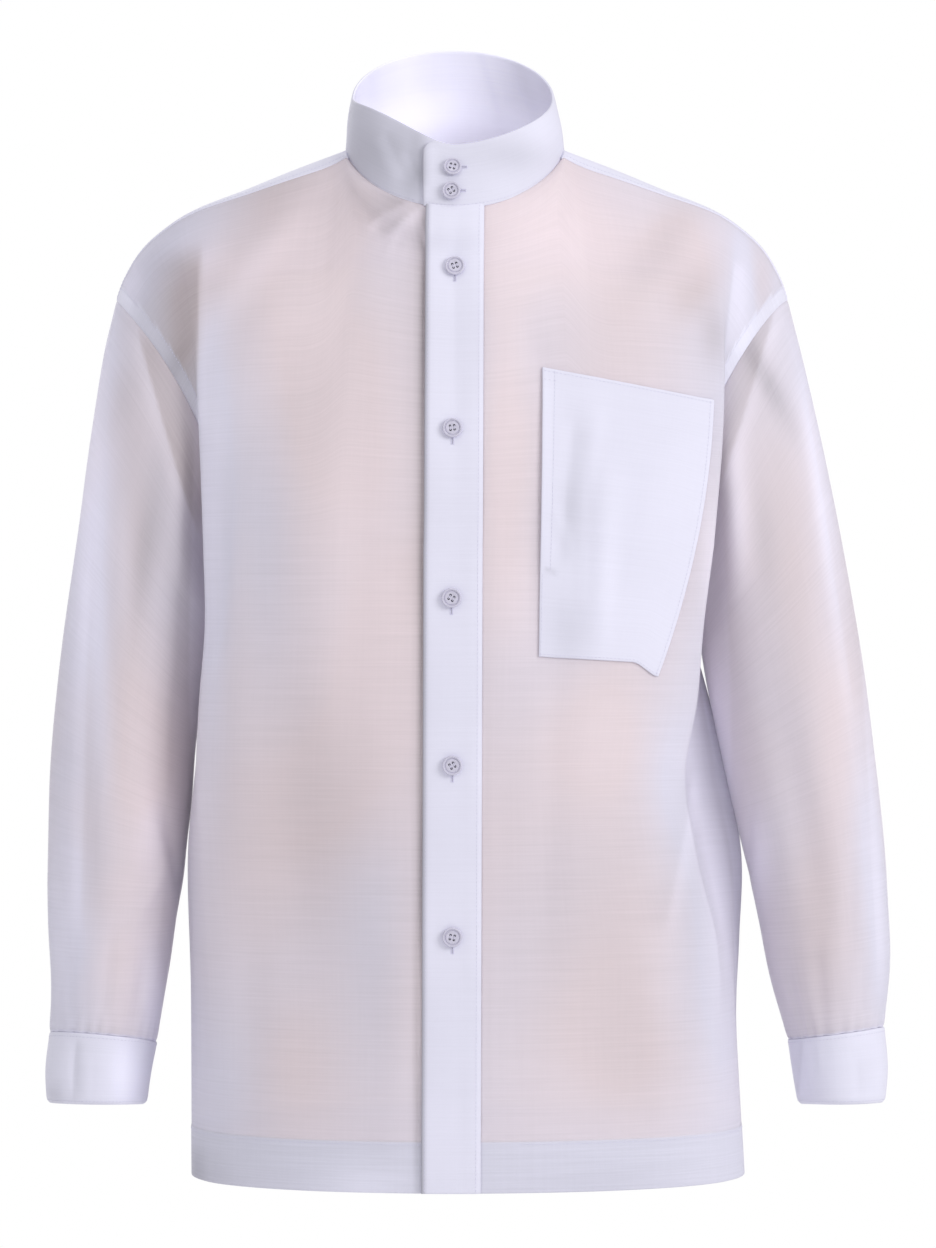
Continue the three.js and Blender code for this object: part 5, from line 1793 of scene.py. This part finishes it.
def cloth_seat(surface, centre):
    """The cloth under a button and its direction, evened over the button's back."""
    spot, normal, _, _ = surface.find_nearest(centre)
    total = normal.copy()
    side = normal.orthogonal().normalized()
    for i in range(6):
        turned = Matrix.Rotation(i * math.pi / 3, 3, normal) @ side
        total += surface.find_nearest(centre + turned * 4)[1]
    return spot, total.normalized()


FRONT_BUTTONS = [f"front_button_{i}" for i in range(1, 6)]
COLLAR_BUTTONS = [f"collar_button_{i}" for i in (1, 2)]
# Each button with the cloth it is sewn to.
BUTTONS = [(name, "placket_cloth") for name in FRONT_BUTTONS]
BUTTONS += [(name, "collar_cloth") for name in COLLAR_BUTTONS]
BUTTONS += [(f"cuff_button_{side}", f"cuff_{side}_cloth") for side in ("right", "left")]


class SHIRT_OT_buttons(bpy.types.Operator):
    """Turn, drill and sew on the nine buttons"""

    bl_idname = "shirt.buttons"
    bl_label = "Buttons"

    def execute(self, context):
        settings = context.scene.shirt_buttons
        blanks = {
            radius: drilled_button(radius) for radius in (settings.radius, settings.collar_radius)
        }
        threads_held = holding_thread(settings.thickness)
        surfaces = {name: surface_of(needed(name)) for _, name in BUTTONS}
        for i, (name, under) in enumerate(BUTTONS):
            low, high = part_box(name)
            centre = (low + high) / 2 / MM
            spot, normal = cloth_seat(surfaces[under], centre)
            is_small = name in COLLAR_BUTTONS
            blank = blanks[settings.collar_radius if is_small else settings.radius]
            upright = Vector((0, 0, 1))
            side = upright.cross(normal).normalized()
            frame_axes = Matrix((side, normal.cross(side), normal)).transposed()
            turn = Matrix.Rotation(0.55 * math.sin(2.3 * i + 0.6), 3, "Z")
            seat = spot + normal * BUTTON_SEAT
            level, faces = gathered((blank, threads_held))
            whole = [(seat + frame_axes @ (turn @ Vector(v))) * MM for v in level]
            piece = new_object(f"{name}_turned", whole, faces)
            for look in (button_plastic(), thread_material("button thread", 1.0), hole_shadow()):
                piece.data.materials.append(look)
            first_thread = len(blank[0])
            for polygon, face in zip(piece.data.polygons, faces):
                drilled = max(face) < first_thread and all(in_hole(level[j]) for j in face)
                polygon.material_index = 2 if drilled else int(min(face) >= first_thread)
                polygon.use_smooth = True
            piece.data.set_sharp_from_angle(angle=math.radians(38))
            sew_in(piece, [name])
        return {"FINISHED"}


# ---- Stitching ----
FEWEST_FACES = 20


def stitch_tree():
    """Geometry nodes that lay one tapered stitch after another along every line of a mesh."""
    if "stitches" in bpy.data.node_groups:
        return bpy.data.node_groups["stitches"]
    group = bpy.data.node_groups.new("stitches", "GeometryNodeTree")
    ports = group.interface
    ports.new_socket("Lines", in_out="INPUT", socket_type="NodeSocketGeometry")
    for name in ("Stitch", "Pitch", "Thread"):
        ports.new_socket(name, in_out="INPUT", socket_type="NodeSocketFloat")
    ports.new_socket("Finish", in_out="INPUT", socket_type="NodeSocketMaterial")
    ports.new_socket("Stitches", in_out="OUTPUT", socket_type="NodeSocketGeometry")
    tree = Nodes(group)
    given = tree.node("NodeGroupInput").outputs
    curve = tree.node("GeometryNodeMeshToCurve", {"Mesh": given["Lines"]})
    inputs = {"Curve": curve.outputs[0], "Length": given["Pitch"]}
    spaced = tree.node("GeometryNodeResampleCurve", inputs, mode="LENGTH")
    ball = tree.node("GeometryNodeMeshIcoSphere", {"Radius": 0.5, "Subdivisions": 1})
    inputs = {"X": given["Thread"], "Y": given["Thread"], "Z": given["Stitch"]}
    shape = tree.node("ShaderNodeCombineXYZ", inputs)
    inputs = {"Geometry": ball.outputs["Mesh"], "Scale": shape.outputs[0]}
    stitch = tree.node("GeometryNodeTransform", inputs)
    run = tree.node("GeometryNodeInputNamedAttribute", {"Name": "run"}, data_type="FLOAT_VECTOR")
    inputs = {"Vector": run.outputs["Attribute"]}
    turned = tree.node("FunctionNodeAlignRotationToVector", inputs, axis="Z")
    vary = tree.node("FunctionNodeRandomValue", data_type="FLOAT")
    for socket, value in (("Min", 0.88), ("Max", 1.1), ("Seed", 7)):
        for found in [s for s in vary.inputs if s.name == socket and s.enabled]:
            found.default_value = value
    inputs = {
        "Points": spaced.outputs[0],
        "Instance": stitch.outputs[0],
        "Rotation": turned.outputs[0],
        "Scale": [s for s in vary.outputs if s.enabled][0],
    }
    laid = tree.node("GeometryNodeInstanceOnPoints", inputs)
    real = tree.node("GeometryNodeRealizeInstances", {0: laid.outputs[0]})
    smoothed = tree.node("GeometryNodeSetShadeSmooth", {0: real.outputs[0]})
    inputs = {"Geometry": smoothed.outputs[0], "Material": given["Finish"]}
    finished = tree.node("GeometryNodeSetMaterial", inputs)
    tree.node("NodeGroupOutput", {0: finished.outputs[0]})
    return group


def stitched(name, lines, material, length, gap, thickness):
    """Stitches along lines of places, each with the direction its stitches run in."""
    vertices, edges, runs = [], [], []
    for points, directions in lines:
        start = len(vertices)
        vertices += [tuple(p) for p in np.asarray(points) * MM]
        runs += [tuple(d) for d in directions]
        edges += [(start + i, start + i + 1) for i in range(len(points) - 1)]
    mesh = bpy.data.meshes.new(f"{name} lines")
    mesh.from_pydata(vertices, edges, [])
    mesh.attributes.new("run", "FLOAT_VECTOR", "POINT").data.foreach_set("vector", np.ravel(runs))
    guide = placed(f"{name} lines", mesh)
    group = stitch_tree()
    modifier = guide.modifiers.new("stitches", "NODES")
    modifier.node_group = group
    values = {
        "Stitch": length * MM,
        "Pitch": (length + gap) * MM,
        "Thread": thickness * MM,
        "Finish": material,
    }
    for socket in group.interface.items_tree:
        if socket.in_out == "INPUT" and socket.name in values:
            modifier[socket.identifier] = values[socket.name]
    plain = worked_out(guide)
    plain.name = name
    bpy.data.objects.remove(guide)
    if len(plain.polygons) < FEWEST_FACES:
        raise RuntimeError(f"{name} came out without stitches")
    return placed(name, plain)


def laid_line(surface, guesses, lift=0.05):
    """A line moved onto the cloth, with the direction along it at each place."""
    spots = []
    for guess in guesses:
        spot, normal, _, _ = surface.find_nearest(Vector(guess))
        spots.append(spot + normal * lift)
    spots = np.array([tuple(s) for s in spots])
    return spots, unit(np.gradient(spots, axis=0))


def pushed_out(points, reach=2.5):
    """Places moved away from the shirt's upright middle line."""
    away = points * (1, 1, 0)
    return points + unit(away) * reach


def near_armhole(face, side, height, distance):
    """Places on the body a distance along the cloth from the armhole."""
    share = np.linspace(0.78, 1, 60)
    points = []
    for level in height:
        row = cloth_point(face, side, share, level)
        run = np.concatenate(([0], np.cumsum(np.linalg.norm(np.diff(row, axis=0), axis=-1))))
        points.append([np.interp(run[-1] - distance, run, row[:, axis]) for axis in range(3)])
    return np.array(points)


def body_lines(surface):
    """The stitching of hem, armholes and yoke, as lines on the cloth."""
    hem, armholes, yoke = [], [], []
    for face in (FRONT, BACK):
        for side in (RIGHT, LEFT):
            start = 0.13 if (face, side) == (FRONT, LEFT) else 0.0
            share = np.linspace(start, 0.995, 110)
            line = cloth_point(face, side, share, np.float64(HEM_TOP + 0.004))
            hem.append(laid_line(surface, pushed_out(line)))
            seam = back_seam if face == BACK else front_seam
            first = 0.0 if face == BACK else 0.29
            share = np.linspace(first, 0.99, 80)
            line = cloth_point(face, side, share, seam(share) * (0.985 if face == BACK else 0.93))
            yoke.append(laid_line(surface, pushed_out(line) + (0, 0, 1.5)))
            line = near_armhole(face, side, np.linspace(0.0, 1.0, 90), ALLOWANCE - 1.2)
            armholes.append(laid_line(surface, line + (0, face * 2.5, 0)))
    return {"hem": hem, "armhole": armholes, "yoke": yoke}


def pocket_lines(surface):
    inset_u, inset_v = 2.0 / POCKET_WIDTH, 2.0 / POCKET_LENGTH
    v = np.linspace(inset_v, 1 - inset_v, 90)
    below = np.linspace(POCKET_NOTCH, 1 - inset_v, 40)
    u = np.linspace(inset_u, 1 - inset_u, 60)
    facing = 8.0 / POCKET_WIDTH
    routes = [
        (np.full_like(v, 1 - inset_u), v),
        (u, np.full_like(u, 1 - inset_v)),
        (np.full_like(below, inset_u), below),
        (u, np.full_like(u, inset_v)),
        (np.linspace(inset_u, facing, 8), np.full(8, 8.0 / POCKET_LENGTH)),
        (np.full_like(v, facing)[: len(v) * 7 // 10], v[: len(v) * 7 // 10]),
    ]
    lines = []
    for route in routes:
        x, z = pocket_outline(*route)
        spots = np.array([tuple(front_place(surface, *spot)[0]) for spot in zip(x, z)])
        spots = spots + (0, -0.08, 0)
        lines.append((spots, unit(np.gradient(spots, axis=0))))
    return lines


def placket_lines(surface):
    height = np.linspace(0.02, 1.995, 260)
    lines = []
    for edge in (-1 + 4.0 / PLACKET_WIDTH, 1 - 6.5 / PLACKET_WIDTH):
        line = front_at_x(placket_x(height, np.full_like(height, edge)), height)
        lines.append(laid_line(surface, line + (0, -4, 0)))
    return lines


def cuff_lines(surface, side):
    turned = np.linspace(0.15, cuff_turns()[-1] - 0.03, 150)
    lines = []
    for along in (0.05, 0.955):
        line = cuff_point(side, np.full_like(turned, along), turned)
        centre = line.mean(axis=0) * (1, 1, 0)
        away = unit(line * (1, 1, 0) - centre)
        over = turned > CUFF_LAP / CUFF_RADIUS + 0.1
        lines.append(laid_line(surface, (line + away * 2)[over]))
    return lines


def collar_lines(surface):
    turn = np.linspace(lap_turn(COLLAR_LEFT_LAP) + 0.1, COLLAR_END - 0.03, 190)
    line = collar_point(turn, np.full_like(turn, 0.035))
    return [laid_line(surface, line + place(-np.sin(turn), -np.cos(turn), 0) * 2)]


class SHIRT_OT_stitching(bpy.types.Operator):
    """Run the visible stitching along hem, seams, placket, pocket, collar and cuffs"""

    bl_idname = "shirt.stitching"
    bl_label = "Stitching"

    def execute(self, context):
        body = surface_of(
            *(needed(f"{n}_cloth") for n in ("front_right", "front_left", "back", "yoke"))
        )
        groups = {f"{name}_stitching": lines for name, lines in body_lines(body).items()}
        groups["pocket_stitching"] = pocket_lines(surface_of(needed("pocket_cloth")))
        groups["placket_stitching"] = placket_lines(surface_of(needed("placket_cloth")))
        groups["collar_stitching"] = collar_lines(surface_of(needed("collar_cloth")))
        for name, side in (("cuff_right", RIGHT), ("cuff_left", LEFT)):
            groups[f"{name}_stitching"] = cuff_lines(surface_of(needed(f"{name}_cloth")), side)
        settings = context.scene.shirt_thread
        for name, lines in groups.items():
            look = thread_material("sewing thread", 1.0)
            piece = stitched(name, lines, look, settings.length, settings.gap, settings.thickness)
            sew_in(piece)
        return {"FINISHED"}


# ---- Buttonholes ----
BUTTONHOLE_LENGTH, SLIT_RADIUS = 13.0, 0.2
# How far the whipping lies from the slit on each side of it, and its stitches' length, gap (they
# overlap) and thickness.
WHIPPING_REACH, WHIPPING = 0.744, (1.0, -0.58, 0.36)


def buttonhole_route(low, high, start_share, direction):
    """A buttonhole's middle line, from a share of its length before its button's middle."""
    centre = (Vector(low) + Vector(high)) / 2 / MM
    steps = np.linspace(-start_share * BUTTONHOLE_LENGTH, (1 - start_share) * BUTTONHOLE_LENGTH, 24)
    return [centre + Vector(direction) * step for step in steps]


def buttonhole(surface, name, direction, start_share):
    """One buttonhole: its slit, and the lines of its whipping at both sides and across the end."""
    direction = Vector(direction)
    route = buttonhole_route(*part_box(name), start_share, direction)
    middle = [surface.find_nearest(spot)[:2] for spot in route]
    path = [spot + normal * 0.02 for spot, normal in middle]
    # The slit is a thin dark tube: painted shade of the cut.
    vertices, faces = tube(path, SLIT_RADIUS)
    across = [normal.cross(direction).normalized() for _, normal in middle]
    whips = []
    for reach in (-WHIPPING_REACH, WHIPPING_REACH):
        spots = [
            spot + side * reach + normal * 0.1 for (spot, normal), side in zip(middle, across)
        ]
        whips.append(([tuple(s) for s in spots], [tuple(side) for side in across]))
    bar = middle[-1][0] + middle[-1][1] * 0.12
    ends = [bar + across[-1] * step for step in np.linspace(-1, 1, 5)]
    whips.append(([tuple(e) for e in ends], [tuple(direction.normalized())] * len(ends)))
    return ([v * MM for v in vertices], faces), whips


class SHIRT_OT_buttonholes(bpy.types.Operator):
    """Cut and whip the buttonholes: upright on the placket, level on the collar"""

    bl_idname = "shirt.buttonholes"
    bl_label = "Buttonholes"

    def execute(self, context):
        look = thread_material("buttonhole thread", 1.12)
        groups = {
            "placket": (FRONT_BUTTONS, (0, 0, -1), 0.12),
            "collar": (COLLAR_BUTTONS, (1, 0, 0.04), 0.2),
        }
        for label, (names, direction, start_share) in groups.items():
            surface = surface_of(needed(f"{label}_cloth"))
            holes = [buttonhole(surface, name, direction, start_share) for name in names]
            whips = [line for _, lines in holes for line in lines]
            piece = stitched(f"{label}_buttonhole_whipping", whips, look, *WHIPPING)
            sew_in(piece)
            slits = gathered(slit for slit, _ in holes)
            slit = new_object(f"{label}_buttonhole_slits", *slits)
            # The slits are thread darkened to 0.6 as painted shade.
            slit.data.materials.append(thread_material("buttonhole slit shade", 0.6))
            sew_in(slit)
        return {"FINISHED"}


# ---- Stage ----
FLOOR_Z, FLOOR_RADIUS, FLOOR_SIDES = -1.15, 2.1, 96


def area_light(name, spot, target, width, power):
    lamp = bpy.data.lights.new(name, "AREA")
    lamp.shape, lamp.size, lamp.energy = "SQUARE", width, power
    light = placed(name, lamp)
    light.location = spot
    light.rotation_euler = (Vector(target) - Vector(spot)).to_track_quat("-Z", "Y").to_euler()


class SHIRT_OT_stage(bpy.types.Operator):
    """Set the pale floor, the soft lights and the camera"""

    bl_idname = "shirt.stage"
    bl_label = "Stage"

    def execute(self, context):
        scene, settings = context.scene, context.scene.shirt_stage
        rim = [
            (FLOOR_RADIUS * math.cos(t), FLOOR_RADIUS * math.sin(t), FLOOR_Z)
            for t in np.linspace(0, 2 * math.pi, FLOOR_SIDES + 1)[:-1]
        ]
        floor = new_object("floor", rim, [tuple(range(FLOOR_SIDES))])
        tree = Finish("pale floor")
        tree.feed(tree.surface, {"Base Color": (0.9, 0.9, 0.91, 1), "Roughness": 0.9})
        floor.data.materials.append(tree.material)
        middle = (0, 0, -0.35)
        area_light("key light", (2.3, -1.8, 0.7), middle, 1.4, settings.key)
        area_light("fill light", (-1.9, -1.8, 0.1), middle, 1.6, settings.fill)
        area_light("top light", (0.1, -0.5, 1.5), (0, 0, -0.2), 1.3, settings.top)
        area_light("back light", (-0.9, 2.3, 0.9), middle, 1.5, settings.back)
        world = bpy.data.worlds.new("studio air")
        world.use_nodes = True
        air = Nodes(world.node_tree)
        seen = air.node("ShaderNodeLightPath").outputs["Is Camera Ray"]
        strength = air.stretch(seen, settings.air, 1.0)
        air.feed(air.nodes["Background"], {"Strength": strength, "Color": (1, 1, 1, 1)})
        scene.world = world
        lens = bpy.data.cameras.new("camera")
        lens.lens, lens.sensor_width, lens.clip_end = settings.lens, 36, 50
        camera = placed("camera", lens)
        camera.location = (0.0095, -settings.distance, -0.346)
        camera.rotation_euler = (math.pi / 2, 0, 0)
        scene.camera = camera
        scene.view_settings.view_transform = "Standard"
        return {"FINISHED"}


# ---- The add-on ----
GROUPS = (
    ("shirt_cloth", ShirtCloth),
    ("shirt_thread", ShirtThread),
    ("shirt_buttons", ShirtButtons),
    ("shirt_stage", ShirtStage),
)
OPERATORS = (
    SHIRT_OT_stage,
    SHIRT_OT_panels,
    SHIRT_OT_sleeves,
    SHIRT_OT_cuffs,
    SHIRT_OT_collar,
    SHIRT_OT_placket,
    SHIRT_OT_pocket,
    SHIRT_OT_buttons,
    SHIRT_OT_buttonholes,
    SHIRT_OT_stitching,
)


class SHIRT_PT_sidebar(bpy.types.Panel):
    """Sizes, colours and steps of the shirt"""

    bl_label = "Stand collar shirt"
    bl_space_type = "VIEW_3D"
    bl_region_type = "UI"
    bl_category = "Shirt"

    def draw(self, context):
        for name, group in GROUPS:
            box = self.layout.box()
            for key in group.__annotations__:
                box.prop(getattr(context.scene, name), key)
        for operator in OPERATORS:
            self.layout.operator(operator.bl_idname)


def register():
    for name, group in GROUPS:
        bpy.utils.register_class(group)
        setattr(bpy.types.Scene, name, PointerProperty(type=group))
    for made in (*OPERATORS, SHIRT_PT_sidebar):
        bpy.utils.register_class(made)


def unregister():
    for made in reversed((*OPERATORS, SHIRT_PT_sidebar)):
        bpy.utils.unregister_class(made)
    for name, group in reversed(GROUPS):
        delattr(bpy.types.Scene, name)
        bpy.utils.unregister_class(group)


def main():
    register()
    for operator in OPERATORS:
        getattr(bpy.ops.shirt, operator.bl_idname.removeprefix("shirt."))()


if __name__ == "__main__":
    main()
